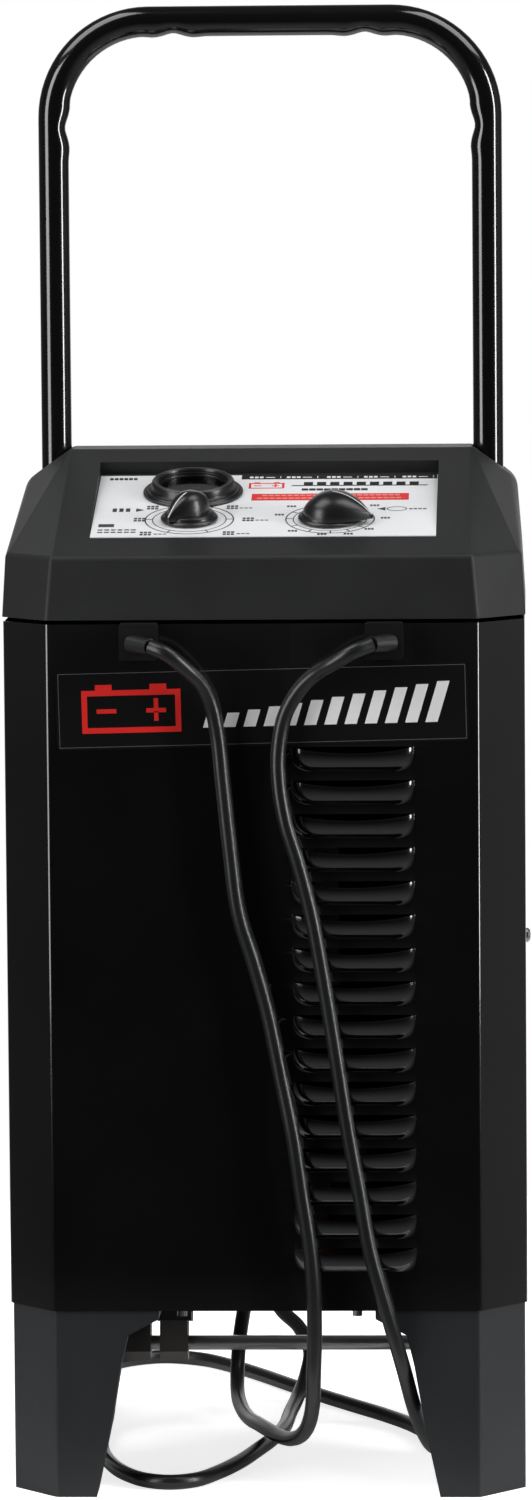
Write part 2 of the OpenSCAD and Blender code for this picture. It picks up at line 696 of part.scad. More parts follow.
// A saddle with a rim, the upper half of a spool on the rear panel
module cord_hook(z, way) color([0.06, 0.06, 0.062]) translate([0, rear_y, z]) intersection() {
    rotate([-90, 0, 0]) {
        cylinder(r = hook_r, h = hook_depth);
        translate([0, 0, hook_depth]) cylinder(r = hook_rim_r, h = hook_rim_t);
    }
    translate([-50, -1, way > 0 ? -8 : -50]) cube([100, 60, 58]);
}

module cord_hook_upper() cord_hook(hook_upper_z, 1);
module cord_hook_lower() cord_hook(hook_lower_z, -1);

module mains_bush() color([0.05, 0.05, 0.05]) translate([mains_at.x, rear_y, mains_at.y]) rotate([-90, 0, 0])
    rotate_extrude() polygon([
        [4, -6], [bush_hole + 1.5, -6], [bush_hole + 1.5, -sheet], [bush_hole, -sheet], [bush_hole, 0],
        [bush_hole + 3, 0], [bush_hole + 2, 4], [6, 12], [4, 12]]);

module case_screws() color([0.72, 0.72, 0.73]) both_sides() {
    for (z = side_screw_z) translate([cabinet_half_w, front_y + 195, z]) rotate([0, 90, 0])
        pan_screw(4.5, 6);
    for (z = rear_screw_z) translate([cabinet_half_w - 8, rear_y, z]) rotate([-90, 0, 0])
        pan_screw(4, 8);
    for (at = foot_screws_at) translate([at.x, at.y, foot_top - foot_wall]) rotate([180, 0, 0])
        pan_screw(4.5, 8);
    for (y = bracket_screws_y) translate([bracket_x - 12, y, cabinet_bottom - bracket_t])
        rotate([180, 0, 0]) pan_screw(4.5, 8);
}

// ==== battery clamps: x across, y across the jaws, z along the clamp from the axle to the handles

module clamp_place(i) translate([clamp_x[i], axle_y, axle_z]) rotate([-clamp_lean, 0, 0]) children();

// Extrudes a side view [y, z] across the clamp, centred
module clamp_side(w) translate([-w / 2, 0, 0]) rotate([90, 0, 90]) linear_extrude(w) children();

module half_bar() clamp_side(clamp_w) polygon([
    [1, -8.5], [2.6, -7.2], [3, -5.6], [4.6, -4.6], [4.9, -2], [4.9, 3.5], [3.6, 5.5], [4.6, 7.5],
    [3.8, 9.5], [5, 11.5], [5.5, 30], [5, 45], [6.5, 62], [18.5, 129], [21, 128.5], [9.5, 61],
    [8, 45], [8.5, 30], [8.5, 12], [8.6, 3], [8, -6], [3.4, -11.5]]);

module half_cheeks(x) for (side = [-1, 1]) translate([side * (x + cheek_t / 2), 0, 0])
    clamp_side(cheek_t) {
        translate([0, clamp_pivot]) circle(r = cheek_r);
        translate([0, clamp_pivot - cheek_r]) square([6.5, 2 * cheek_r]);
    }

// One half of a clamp: the bar with its jaw, and two cheeks that carry the hinge pin
module clamp_half(cheek_x, bore_r) difference() {
    union() {
        half_bar();
        half_cheeks(cheek_x);
    }
    translate([-20, 0, clamp_pivot]) rotate([0, 90, 0]) cylinder(r = bore_r, h = 40);
    translate([-20, 0, 0]) rotate([0, 90, 0]) cylinder(r = axle_d / 2 + jaw_gap, h = 40);
}

module clamp_grip() difference() {
    clamp_side(clamp_w + 5) polygon([
        [6, 15], [10.4, 14], [10.7, 30], [10.2, 45], [11.8, 64], [23.4, 127.5], [22.6, 131.5],
        [17.6, 132.4], [15.8, 128], [5.6, 64], [5.2, 45], [6, 30]]);
    half_bar();
}

module clamp_arm(i) color([0.7, 0.6, 0.5]) clamp_place(i) clamp_half(arm_cheek_x, clamp_pin_r);
module clamp_lever(i) color([0.7, 0.6, 0.5]) clamp_place(i) mirror([0, 1, 0])
    clamp_half(lever_cheek_x, clamp_pin_r + running_gap);

module clamp_left_arm() clamp_arm(0);
module clamp_left_arm_grip() color([0.05, 0.05, 0.05]) clamp_place(0) clamp_grip();
module clamp_left_lever() clamp_lever(0);
module clamp_left_lever_grip() color([0.05, 0.05, 0.05]) clamp_place(0) mirror([0, 1, 0]) clamp_grip();
module clamp_right_arm() clamp_arm(1);
module clamp_right_arm_grip() color([0.6, 0.05, 0.04]) clamp_place(1) clamp_grip();
module clamp_right_lever() clamp_lever(1);
module clamp_right_lever_grip() color([0.6, 0.05, 0.04]) clamp_place(1) mirror([0, 1, 0]) clamp_grip();

module clamp_pins() color([0.7, 0.7, 0.72]) for (i = [0, 1]) clamp_place(i)
    translate([-9.5, 0, clamp_pivot]) rotate([0, 90, 0]) cylinder(r = clamp_pin_r, h = 19);

module clamp_springs() color([0.6, 0.6, 0.62]) for (i = [0, 1]) clamp_place(i)
    translate([-4, 0, clamp_pivot]) rotate([0, 90, 0]) ring(4.2, clamp_pin_r + 0.3, 8);

// ==== cables

function route_point(p) = [p.x, front_y + p.y, p.z];

// Ring normals carried along the route without twist
function carried(ways, i, normal) = i == len(ways) ? [] :
    let(flat = normal - (normal * ways[i]) * ways[i], next = flat / norm(flat))
    concat([next], carried(ways, i + 1, next));

module cord(route) {
    points = [for (p = route) route_point(p)];
    last = len(points) - 1;
    ways = [for (i = [0:last])
        let(way = points[min(i + 1, last)] - points[max(i - 1, 0)]) way / norm(way)];
    normals = carried(ways, 0, [0.3, 0.2, 1]);
    polyhedron(
        points = [for (i = [0:last], k = [0:cord_sides - 1])
            let(a = k * 360 / cord_sides)
            points[i] + cord_d / 2 * (cos(a) * normals[i] + sin(a) * cross(ways[i], normals[i]))],
        faces = concat(
            [[for (k = [cord_sides - 1:-1:0]) k]],
            [[for (k = [0:cord_sides - 1]) last * cord_sides + k]],
            [for (i = [0:last - 1], k = [0:cord_sides - 1])
                let(a = i * cord_sides + k, b = i * cord_sides + (k + 1) % cord_sides)
                each [[a, b, b + cord_sides], [a, b + cord_sides, a + cord_sides]]]));
}

module stadium(r, from, to) {
    translate([0, from]) circle(r = r);
    translate([0, to]) circle(r = r);
    translate([-r, from]) square([2 * r, to - from]);
}

module cable_left() color([0.06, 0.06, 0.065]) cord(left_route);
module cable_left_tail() color([0.06, 0.06, 0.065]) cord(left_tail);
module cable_right() color([0.06, 0.06, 0.065]) cord(right_route);

// The laps around the two hooks, as one ring with round ends
module cable_left_hank() color([0.06, 0.06, 0.065])
    translate([0, front_y + hank_from - cord_d / 2 + hank_layers * cord_d + 0.7, 0]) rotate([90, 0, 0])
        linear_extrude(hank_layers * cord_d + 0.7) difference() {
            stadium(hank_r + cord_d / 2, hook_lower_z, hook_upper_z);
            stadium(hank_r - cord_d / 2, hook_lower_z, hook_upper_z);
        }

top_cover();
control_label();
meter_housing();
meter_lens();
meter_dial();
meter_needle();
rate_knob();
rate_shaft();
rate_switch();
timer_knob();
timer_shaft();
timer_clockwork();
cabinet_wrap();
rear_panel();
base_plate();
brand_label();
gland_left();
gland_right();
boot_left();
boot_right();
foot_left();
foot_right();
axle();
axle_brackets();
axle_washers();
axle_caps();
wheel_left_hub();
wheel_left_tyre();
wheel_right_hub();
wheel_right_tyre();
handle();
handle_saddles();
handle_bolts();
transformer_core();
primary_winding();
secondary_winding();
transformer_frame();
transformer_bolts();
heat_sink();
diodes();
circuit_breaker();
cord_hook_upper();
cord_hook_lower();
mains_bush();
case_screws();
clamp_left_arm();
clamp_left_arm_grip();
clamp_left_lever();
clamp_left_lever_grip();
clamp_right_arm();
clamp_right_arm_grip();
clamp_right_lever();
clamp_right_lever_grip();
clamp_pins();
clamp_springs();
cable_left();
cable_left_hank();
cable_left_tail();
cable_right();
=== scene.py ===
"""Looks for the wheeled battery charger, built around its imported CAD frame.

Metres, +Z up, and the front faces -Y.
"""

import json
from math import atan2, cos, exp, hypot, pi, radians, sin, sqrt, tan

import bmesh
import bpy
from mathutils import Matrix, Vector


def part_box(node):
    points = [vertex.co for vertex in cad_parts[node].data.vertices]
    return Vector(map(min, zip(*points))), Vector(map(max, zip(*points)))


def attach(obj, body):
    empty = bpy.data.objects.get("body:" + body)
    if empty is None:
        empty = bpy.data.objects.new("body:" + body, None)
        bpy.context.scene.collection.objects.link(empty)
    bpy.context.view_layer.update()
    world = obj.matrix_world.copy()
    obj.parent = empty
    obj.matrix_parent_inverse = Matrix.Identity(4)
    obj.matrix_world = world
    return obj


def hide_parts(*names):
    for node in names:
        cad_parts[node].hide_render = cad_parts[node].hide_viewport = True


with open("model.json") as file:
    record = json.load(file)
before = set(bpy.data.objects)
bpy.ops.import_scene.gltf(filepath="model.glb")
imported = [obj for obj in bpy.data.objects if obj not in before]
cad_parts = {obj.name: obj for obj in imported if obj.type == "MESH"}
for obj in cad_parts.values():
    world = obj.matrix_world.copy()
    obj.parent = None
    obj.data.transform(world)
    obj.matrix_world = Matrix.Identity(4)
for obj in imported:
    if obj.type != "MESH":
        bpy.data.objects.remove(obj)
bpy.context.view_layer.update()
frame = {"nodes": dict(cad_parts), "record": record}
NODES = frame["nodes"]
MM = 0.001
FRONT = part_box("brand_label")[1].y  # the cabinet's front face


# ==== camera

LENS, SENSOR, FAR = 159.9, 36, 50  # the first two in millimetres
CAMERA_AT = (0.160, FRONT - 3.999, 0.8502)
PAN, TILT, ROLL = 2.26, 90 - 5.59, -0.46  # degrees


def make_camera():
    """A long lens, about four metres from the front face and level with the cover's crest."""
    data = bpy.data.cameras.new("camera")
    data.lens = LENS
    data.sensor_width = SENSOR
    data.clip_end = FAR
    camera = bpy.data.objects.new("camera", data)
    turn = Matrix.Rotation(radians(PAN), 4, "Z") @ Matrix.Rotation(radians(TILT), 4, "X")
    camera.matrix_world = Matrix.Translation(CAMERA_AT) @ turn @ Matrix.Rotation(radians(ROLL), 4, "Z")
    bpy.context.scene.collection.objects.link(camera)
    bpy.context.scene.camera = camera


make_camera()


# ==== mesh helpers

def new_object(name, data, body="chassis", slot=None, material=None):
    """A piece that rides on a body, with its material; slot is not used."""
    piece = bpy.data.objects.new(name, data)
    bpy.context.scene.collection.objects.link(piece)
    if material:
        data.materials.append(material)
    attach(piece, body)
    return piece


def mesh_object(name, verts, faces, smooth=True, **kw):
    """A mesh whose faces all point outwards."""
    mesh = bpy.data.meshes.new(name)
    mesh.from_pydata([tuple(v) for v in verts], [], faces)
    mesh.validate()
    work = bmesh.new()
    work.from_mesh(mesh)
    bmesh.ops.recalc_face_normals(work, faces=work.faces)
    work.to_mesh(mesh)
    work.free()
    for face in mesh.polygons:
        face.use_smooth = smooth
    return new_object(name, mesh, **kw)


def sharpen(mesh, angle):
    """Marks the edges that are sharper than angle, in degrees, and smooths the rest."""
    work = bmesh.new()
    work.from_mesh(mesh)
    for face in work.faces:
        face.smooth = True
    for edge in work.edges:
        edge.smooth = len(edge.link_faces) == 2 and edge.calc_face_angle(0) < radians(angle)
    work.to_mesh(mesh)
    work.free()


def rounded_outline(points, radius, steps):
    """A closed outline with each corner turned into an arc."""
    out = []
    for i, corner in enumerate(points):
        corner = Vector(corner)
        before, after = Vector(points[i - 1]), Vector(points[(i + 1) % len(points)])
        u, v = (before - corner).normalized(), (after - corner).normalized()
        half = u.angle(v) / 2
        centre = corner + (u + v).normalized() * radius / sin(half)
        first = corner + u * radius / tan(half) - centre
        last = corner + v * radius / tan(half) - centre
        start = atan2(first.y, first.x)
        sweep = atan2(first.x * last.y - first.y * last.x, first.dot(last))
        for k in range(steps + 1):
            a = start + sweep * k / steps
            out.append((centre.x + radius * cos(a), centre.y + radius * sin(a)))
    return out


# ==== cables

CORD_D = 9.3 * MM


def route(points):
    """Points given as [x, depth behind the front face, height] in millimetres."""
    return [Vector((x * MM, FRONT + y * MM, z * MM)) for x, y, z in points]


LEFT_ROUTE = [
    [-66, -22, 523], [-56, -26, 519], [-45, -22, 510], [-36, -14, 500], [-31, -9, 489],
    [-27, -7, 470], [-24, -7, 440], [-20, -7, 400], [-15, -7, 360], [-6, -7, 330], [2, -7, 300],
    [10, -8.5, 260], [17, -11, 225], [22, -11, 190], [27, -11, 155], [29, -9, 124], [29, -4, 98],
    [28, 3, 74], [27, 14, 55], [24, 30, 40], [19, 50, 29], [12, 74, 21.5], [4, 100, 17.5],
    [-4.5, 128, 16], [-12, 155, 14.5], [-19, 185, 12], [-25, 215, 12.5], [-29, 243, 17],
    [-30, 264, 28], [-29, 277, 46], [-26, 281, 66], [-20, 276, 95], [-6, 258, 132],
    [13, 238, 168], [25, 225, 200], [28, 221, 225]]
LEFT_TAIL = [
    [-28, 231, 300], [-30, 236, 275], [-38, 250, 248], [-52, 267, 222], [-65, 278, 198],
    [-69, 278, 177.7]]
RIGHT_FLOOR = [
    [67, -22, 524], [56, -26, 520], [44, -22, 513], [33, -14, 506], [23, -9, 496],
    [14, -7, 480], [10, -7, 460], [10, -8, 440], [14, -10, 415], [21, -11, 392], [29, -11, 360],
    [36, -11, 321], [44, -11, 270], [50, -11, 230], [57, -11, 190], [63, -11, 155], [70, -9, 128],
    [77, -4, 102], [83, 6, 78], [88, 24, 54], [93, 50, 33], [98, 80, 17], [102, 112, 8],
    [101, 140, 5], [96, 168, 5], [84, 200, 5], [66, 232, 5], [46, 262, 5], [25, 294, 5],
    [2, 332, 5], [-18, 366, 5], [-40, 399, 5], [-62, 423, 5], [-88, 432, 5], [-112, 418, 5],
    [-126, 388, 5], [-124, 345, 5], [-116, 292, 5], [-113, 235, 5], [-112, 180, 5],
    [-110, 128, 5], [-103, 86, 5], [-91, 50, 5], [-76, 28, 5], [-61, 22, 5], [-46, 29, 5],
    [-33, 52, 5], [-21, 84, 5], [-11, 122, 5], [-3, 156, 5], [3, 195, 5], [5, 235, 5.5]]
RIGHT_UP = [
    [9, 268, 10], [14, 291, 21], [16, 299, 34], [9, 298, 50], [-3, 291, 64], [-10, 289, 85],
    [-8, 281, 110], [2, 267, 137], [17, 251, 165], [28, 241.3, 190]]
RIGHT_TAIL = [
    [-34, 247, 290], [-47, 257, 255], [-67, 268, 225], [-85, 277, 200], [-93, 278, 177.7]]
HOOK_LOW, HOOK_HIGH = 225, 400  # heights of the two hooks the cables wind on
HANK_R, LAYERS = 28, (221, 231)  # the left cable's laps, in two layers behind the front face
LAP_R, LAP_DEPTH = 28.5, 241  # the right cable's lap, on top of them


def over_hook(r, depth):
    """Half a turn over the upper hook, from its right side to its left."""
    turns = [radians(a) for a in range(0, 181, 20)]
    return [[r * cos(a), depth, HOOK_HIGH + r * sin(a)] for a in turns]


def hank_laps():
    """One and a half laps round the two hooks: up and over in the first layer, then in the second."""
    out = []
    first, second = LAYERS
    out += [[HANK_R, first, z] for z in (270, 330, 385)] + over_hook(HANK_R, first)
    out += [[-HANK_R, first, z] for z in (350, 290, 240)]
    for a in range(180, 361, 20):
        share = min(1, (a - 180) / 90)
        depth = first + (second - first) * share * share * (3 - 2 * share)
        out.append([HANK_R * cos(radians(a)), depth, HOOK_LOW + HANK_R * sin(radians(a))])
    out += [[HANK_R, second, z] for z in (240, 290, 340, 385)] + over_hook(HANK_R, second)
    return out + [[-HANK_R, second, z] for z in (370, 335)]


RIGHT_ROUTE = [
    *RIGHT_FLOOR, *RIGHT_UP, *[[LAP_R, LAP_DEPTH, z] for z in (212, 240, 290, 340, 385)],
    *over_hook(LAP_R, LAP_DEPTH), *[[-LAP_R, LAP_DEPTH, z] for z in (385, 330)], *RIGHT_TAIL]


def smooth_path(points, per=8):
    """A Catmull-Rom line through the points, its speed fitted to how far apart they are."""
    ext = [2 * points[0] - points[1], *points, 2 * points[-1] - points[-2]]
    out = []
    for p0, p1, p2, p3 in zip(ext, ext[1:], ext[2:], ext[3:]):
        d1, d2, d3 = (sqrt((b - a).length) for a, b in ((p0, p1), (p1, p2), (p2, p3)))
        m1 = (p1 - p0) / d1 - (p2 - p0) / (d1 + d2) + (p2 - p1) / d2
        m2 = (p2 - p1) / d2 - (p3 - p1) / (d2 + d3) + (p3 - p2) / d3
        m1, m2 = m1 * d2, m2 * d2
        for k in range(per):
            t = k / per
            out.append((2 * t**3 - 3 * t**2 + 1) * p1 + (t**3 - 2 * t**2 + t) * m1
                       + (3 * t**2 - 2 * t**3) * p2 + (t**3 - t**2) * m2)
    return out + [points[-1]]


def cable(name, points, stands_for):
    """A round cable along the points, which lies loose and ends in a clamp."""
    line = smooth_path(points)
    data = bpy.data.curves.new(name, "CURVE")
    data.dimensions = "3D"
    data.bevel_depth = 1  # the points' radius gives the thickness
    data.bevel_resolution = 6
    data.use_fill_caps = True
    spline = data.splines.new("POLY")
    spline.points.add(len(line) - 1)
    for point, place in zip(spline.points, line):
        point.co = (*place, 1)
        point.radius = CORD_D / 2
    spline.use_smooth = True
    piece = new_object(name, data, slot="cable_rubber")
    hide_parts(*stands_for)
    return piece


LEFT_CABLE = cable(
    "cable_left_run", route(LEFT_ROUTE + hank_laps() + LEFT_TAIL),
    ["cable_left", "cable_left_hank", "cable_left_tail"])
RIGHT_CABLE = cable("cable_right_run", route(RIGHT_ROUTE), ["cable_right"])


# ==== stage

FLOOR_SIDES, FLOOR_R, FLOOR_Y = 96, (0.75, 0.60), 0.40  # an ellipse that starts just before the feet
FLOOR_GLOW = (0.12, 0.8)  # for the object, and for the camera
ROOM_STRENGTH = 1.8
AHEAD_TONE = (0.006, 0.006, 0.0065, 1)
BEHIND_TONE = (0.85, 0.85, 0.85, 1)
AHEAD_STOP, BEHIND_STOP = 0.1, 1.0
SIDE_TONES = ((0.5, 0.033), (0.9, 0.045))  # place from ahead to behind, and brightness
SIDE_BLUE = 1.02
BELOW_FROM, BELOW_TO, BELOW_WHITE = -0.2, -0.75, 0.2  # the floor's light, by how far down it comes from
WHITE = (1, 1, 1, 1)


def make_stage():
    """A pale floor. It glows mostly for the camera, so that the glossy cabinet doesn't mirror it."""
    turns = [2 * pi * i / FLOOR_SIDES for i in range(FLOOR_SIDES)]
    mesh = bpy.data.meshes.new("floor")
    mesh.from_pydata([(FLOOR_R[0] * cos(a), FLOOR_Y + FLOOR_R[1] * sin(a), 0) for a in turns], [],
                     [list(range(FLOOR_SIDES))])
    floor = bpy.data.objects.new("floor", mesh)
    bpy.context.scene.collection.objects.link(floor)
    pale = bpy.data.materials.new("floor")
    pale.use_nodes = True
    tree = pale.node_tree
    shader = tree.nodes["Principled BSDF"]
    shader.inputs["Base Color"].default_value = (0.9, 0.9, 0.9, 1)
    shader.inputs["Roughness"].default_value = 0.9
    shader.inputs["Specular IOR Level"].default_value = 0.0
    shader.inputs["Emission Color"].default_value = WHITE
    path = tree.nodes.new("ShaderNodeLightPath")
    glow = tree.nodes.new("ShaderNodeMapRange")
    glow.inputs["To Min"].default_value, glow.inputs["To Max"].default_value = FLOOR_GLOW
    tree.links.new(path.outputs["Is Camera Ray"], glow.inputs["Value"])
    tree.links.new(glow.outputs[0], shader.inputs["Emission Strength"])
    mesh.materials.append(pale)


def make_world():
    """White for the camera. What the object mirrors is a studio, dark ahead of it and bright behind."""
    world = bpy.data.worlds.new("studio")
    bpy.context.scene.world = world
    world.use_nodes = True
    nodes, links = world.node_tree.nodes, world.node_tree.links
    nodes.clear()
    output = nodes.new("ShaderNodeOutputWorld")
    mix = nodes.new("ShaderNodeMixShader")
    path = nodes.new("ShaderNodeLightPath")
    seen = nodes.new("ShaderNodeBackground")
    seen.inputs["Color"].default_value = WHITE
    room = nodes.new("ShaderNodeBackground")
    room.inputs["Strength"].default_value = ROOM_STRENGTH
    where = nodes.new("ShaderNodeTexCoord")
    split = nodes.new("ShaderNodeSeparateXYZ")
    ramp = nodes.new("ShaderNodeValToRGB")
    lift = nodes.new("ShaderNodeMapRange")
    lift.inputs["From Min"].default_value = -1
    links.new(where.outputs["Generated"], split.inputs[0])
    links.new(split.outputs["Y"], lift.inputs["Value"])
    links.new(lift.outputs[0], ramp.inputs[0])
    stops = ramp.color_ramp.elements
    stops[0].position, stops[0].color = AHEAD_STOP, AHEAD_TONE
    stops[1].position, stops[1].color = BEHIND_STOP, BEHIND_TONE
    for place, bright in SIDE_TONES:
        stops.new(place).color = (bright, bright, bright * SIDE_BLUE, 1)
    below = nodes.new("ShaderNodeMapRange")
    below.inputs["From Min"].default_value = BELOW_FROM
    below.inputs["From Max"].default_value = BELOW_TO
    below.inputs["To Max"].default_value = BELOW_WHITE
    links.new(split.outputs["Z"], below.inputs["Value"])
    lit = nodes.new("ShaderNodeMix")
    lit.data_type = "RGBA"
    lit.inputs["B"].default_value = WHITE
    links.new(below.outputs[0], lit.inputs["Factor"])
    links.new(ramp.outputs[0], lit.inputs["A"])
    links.new(lit.outputs["Result"], room.inputs["Color"])
    links.new(path.outputs["Is Camera Ray"], mix.inputs[0])
    links.new(room.outputs[0], mix.inputs[1])
    links.new(seen.outputs[0], mix.inputs[2])
    links.new(mix.outputs[0], output.inputs["Surface"])


def softbox(name, place, aim, size, power):
    """A rectangular lamp that faces aim; power is in watts."""
    data = bpy.data.lights.new(name, "AREA")
    data.shape = "RECTANGLE"
    data.size, data.size_y = size
    data.energy = power
    lamp = bpy.data.objects.new(name, data)
    lamp.location = place
    lamp.rotation_euler = (Vector(aim) - Vector(place)).to_track_quat("-Z", "Y").to_euler()
    bpy.context.scene.collection.objects.link(lamp)


make_stage()
make_world()
softbox("overhead_left", (-1.0, -0.4, 2.3), (0, 0, 0.5), (1.1, 1.4), 19)
softbox("overhead_right", (1.0, -0.4, 2.3), (0, 0, 0.5), (1.1, 1.4), 19)
softbox("wide_left", (-1.7, -1.25, 0.85), (0, 0, 0.45), (0.8, 1.7), 26)
softbox("strip_right", (2.0, -0.9, 0.85), (0, 0, 0.45), (0.3, 1.7), 38)
softbox("panel_right", (2.2, 0.2, 0.6), (0, 0, 0.35), (1.2, 1.8), 1)
bpy.context.scene.view_settings.view_transform = "Standard"


# ==== materials

MATERIALS = {}
COAT_ROUGH = 0.06
DRIFT_SCALE, DRIFT_DETAIL = 14, 5  # the slow change of tone and roughness
DRIFT_DARK, DRIFT_LIGHT = 0.3, 0.7
GRAIN_DETAIL, GRAIN_DEPTH = 2, 0.4 * MM
EDGE_FROM, EDGE_TO = 0.52, 0.62  # how pointed an edge is where its wear starts, and where it is full
WORN_GAIN, WORN_LIFT = 2.4, 0.02
LEAST_ROUGH = 0.02


def material(name, color, rough, metallic=0.0, coat=0.0, grain=900, bump=0.05, tint=0.15, wear=0.0,
             rough_spread=0.12, specular=0.5):
    """A shader with fine grain in its bump, drifting tone and roughness, and pale wear on edges."""
    if name in MATERIALS:
        return MATERIALS[name]
    made = bpy.data.materials.new(name)
    made.use_nodes = True
    nodes, links = made.node_tree.nodes, made.node_tree.links
    shader = nodes["Principled BSDF"]
    shader.inputs["Metallic"].default_value = metallic
    shader.inputs["Coat Weight"].default_value = coat
    shader.inputs["Coat Roughness"].default_value = COAT_ROUGH
    shader.inputs["Specular IOR Level"].default_value = specular
    where = nodes.new("ShaderNodeTexCoord")
    drift = nodes.new("ShaderNodeTexNoise")
    drift.inputs["Scale"].default_value = DRIFT_SCALE
    drift.inputs["Detail"].default_value = DRIFT_DETAIL
    fine = nodes.new("ShaderNodeTexNoise")
    fine.inputs["Scale"].default_value = grain
    fine.inputs["Detail"].default_value = GRAIN_DETAIL
    links.new(where.outputs["Object"], drift.inputs["Vector"])
    links.new(where.outputs["Object"], fine.inputs["Vector"])
    tone = nodes.new("ShaderNodeValToRGB")
    dark = tuple(c * (1 - tint) for c in color)
    light = tuple(min(1, c * (1 + tint)) for c in color)
    low, high = tone.color_ramp.elements
    low.position, low.color = DRIFT_DARK, (*dark, 1)
    high.position, high.color = DRIFT_LIGHT, (*light, 1)
    links.new(drift.outputs["Fac"], tone.inputs[0])
    color_out = tone.outputs[0]
    if wear:
        around = nodes.new("ShaderNodeNewGeometry")
        edge = nodes.new("ShaderNodeMapRange")
        edge.inputs["From Min"].default_value = EDGE_FROM
        edge.inputs["From Max"].default_value = EDGE_TO
        edge.inputs["To Max"].default_value = wear
        links.new(around.outputs["Pointiness"], edge.inputs["Value"])
        worn = nodes.new("ShaderNodeMix")
        worn.data_type = "RGBA"
        worn.inputs["B"].default_value = (*[min(1, c * WORN_GAIN + WORN_LIFT) for c in color], 1)
        links.new(edge.outputs[0], worn.inputs["Factor"])
        links.new(color_out, worn.inputs["A"])
        color_out = worn.outputs["Result"]
    links.new(color_out, shader.inputs["Base Color"])
    spread = nodes.new("ShaderNodeMapRange")
    spread.inputs["To Min"].default_value = max(LEAST_ROUGH, rough - rough_spread / 2)
    spread.inputs["To Max"].default_value = min(1, rough + rough_spread / 2)
    links.new(drift.outputs["Fac"], spread.inputs["Value"])
    links.new(spread.outputs[0], shader.inputs["Roughness"])
    relief = nodes.new("ShaderNodeBump")
    relief.inputs["Strength"].default_value = bump
    relief.inputs["Distance"].default_value = GRAIN_DEPTH
    links.new(fine.outputs["Fac"], relief.inputs["Height"])
    links.new(relief.outputs[0], shader.inputs["Normal"])
    MATERIALS[name] = made
    return made


def cover_plastic():
    return material("cover_plastic", (0.014, 0.0145, 0.015), 0.5, grain=1500, bump=0.35, wear=0.2,
                    specular=0.3)


def foot_plastic():
    return material("foot_plastic", (0.011, 0.0122, 0.0138), 0.5, grain=1200, bump=0.25, wear=0.2,
                    specular=0.34)


def gloss_paint():
    return material("gloss_paint", (0.0035, 0.0035, 0.0038), 0.14, coat=0.5, grain=300, bump=0.008,
                    rough_spread=0.05, wear=0.2)


def satin_paint():
    return material("satin_paint", (0.008, 0.008, 0.0085), 0.32, grain=500, bump=0.08, wear=0.3)


def cable_rubber():
    return material("cable_rubber", (0.008, 0.0085, 0.0095), 0.34, grain=700, bump=0.12,
                    rough_spread=0.06)


def knob_plastic():
    return material("knob_plastic", (0.008, 0.008, 0.0085), 0.3, grain=900, bump=0.12, wear=0.4)


def gland_plastic():
    return material("gland_plastic", (0.006, 0.006, 0.0065), 0.45, grain=900, bump=0.15,
                    specular=0.25)


def zinc():
    return material("zinc", (0.42, 0.425, 0.43), 0.32, metallic=1.0, grain=300, bump=0.1)


def silver_film():
    return material("silver_film", (0.86, 0.875, 0.89), 0.34, metallic=0.1, grain=2200, bump=0.05,
                    tint=0.04)


def tyre_rubber():
    return material("tyre_rubber", (0.012, 0.012, 0.012), 0.7, grain=600, bump=0.3)


def lens():
    made = material("lens", (0.3, 0.32, 0.33), 0.06, grain=400, bump=0.01, rough_spread=0.04,
                    specular=0.2)
    shader = made.node_tree.nodes["Principled BSDF"]
    shader.inputs["Transmission Weight"].default_value = 1.0
    shader.inputs["IOR"].default_value = 1.2
    return made


def clamp_metal():
    return material("clamp_metal", (0.07, 0.066, 0.062), 0.34, metallic=0.9, grain=260, bump=0.3,
                    wear=0.9)


def dial_face():
    return material("dial_face", (0.03, 0.03, 0.031), 0.5, grain=1500, bump=0.05)


FINISH = {
    "cover_plastic": cover_plastic, "foot_plastic": foot_plastic, "panel_print": silver_film,
    "meter_plastic": knob_plastic, "knob_plastic": knob_plastic, "bright_steel": zinc,
    "cabinet_paint": gloss_paint, "panel_paint": satin_paint, "label_film": gloss_paint,
    "gland_plastic": gland_plastic, "cable_rubber": cable_rubber, "wheel_plastic": foot_plastic,
    "wheel_rubber": tyre_rubber, "handle_paint": gloss_paint, "grip_black": cable_rubber,
    "meter_glass": lens, "clamp_metal": clamp_metal, "meter_face": dial_face,
}


METALS = ("brushed_steel", "aluminium", "chrome", "brass", "cast_iron")
PLAIN_ROUGH = 0.35


def plain_finish(slot):
    """For the parts inside the cabinet, from their colour and class in the record."""
    facts = next(m for m in frame["record"]["materials"] if m["slot"] == slot)
    metallic = 1.0 if facts["class"] in METALS else 0.0
    return material(slot, facts["base_color"][:3], PLAIN_ROUGH, metallic=metallic)


# ==== cabinet shell

CAB_LOW, CAB_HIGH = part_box("cabinet_wrap")
HALF_W, FRONT_HALF, CHAMFER = CAB_HIGH.x, 130 * MM, 31 * MM
WRAP_REAR, FLANGE = FRONT + 213 * MM, 15 * MM
SHEET, BEND_R, BEND_STEPS = 0.9 * MM, 4.5 * MM, 8
LOUVRE_X, LOUVRE_W, LOUVRE_H, LOUVRE_OUT = 54.25 * MM, 74.5 * MM, 14.5 * MM, 5.5 * MM
LOUVRE_COUNT, LOUVRE_TOP, LOUVRE_PITCH = 16, 460.25 * MM, 20.4 * MM
LOUVRE_END, LIP_DROP = 13 * MM, 3.6 * MM
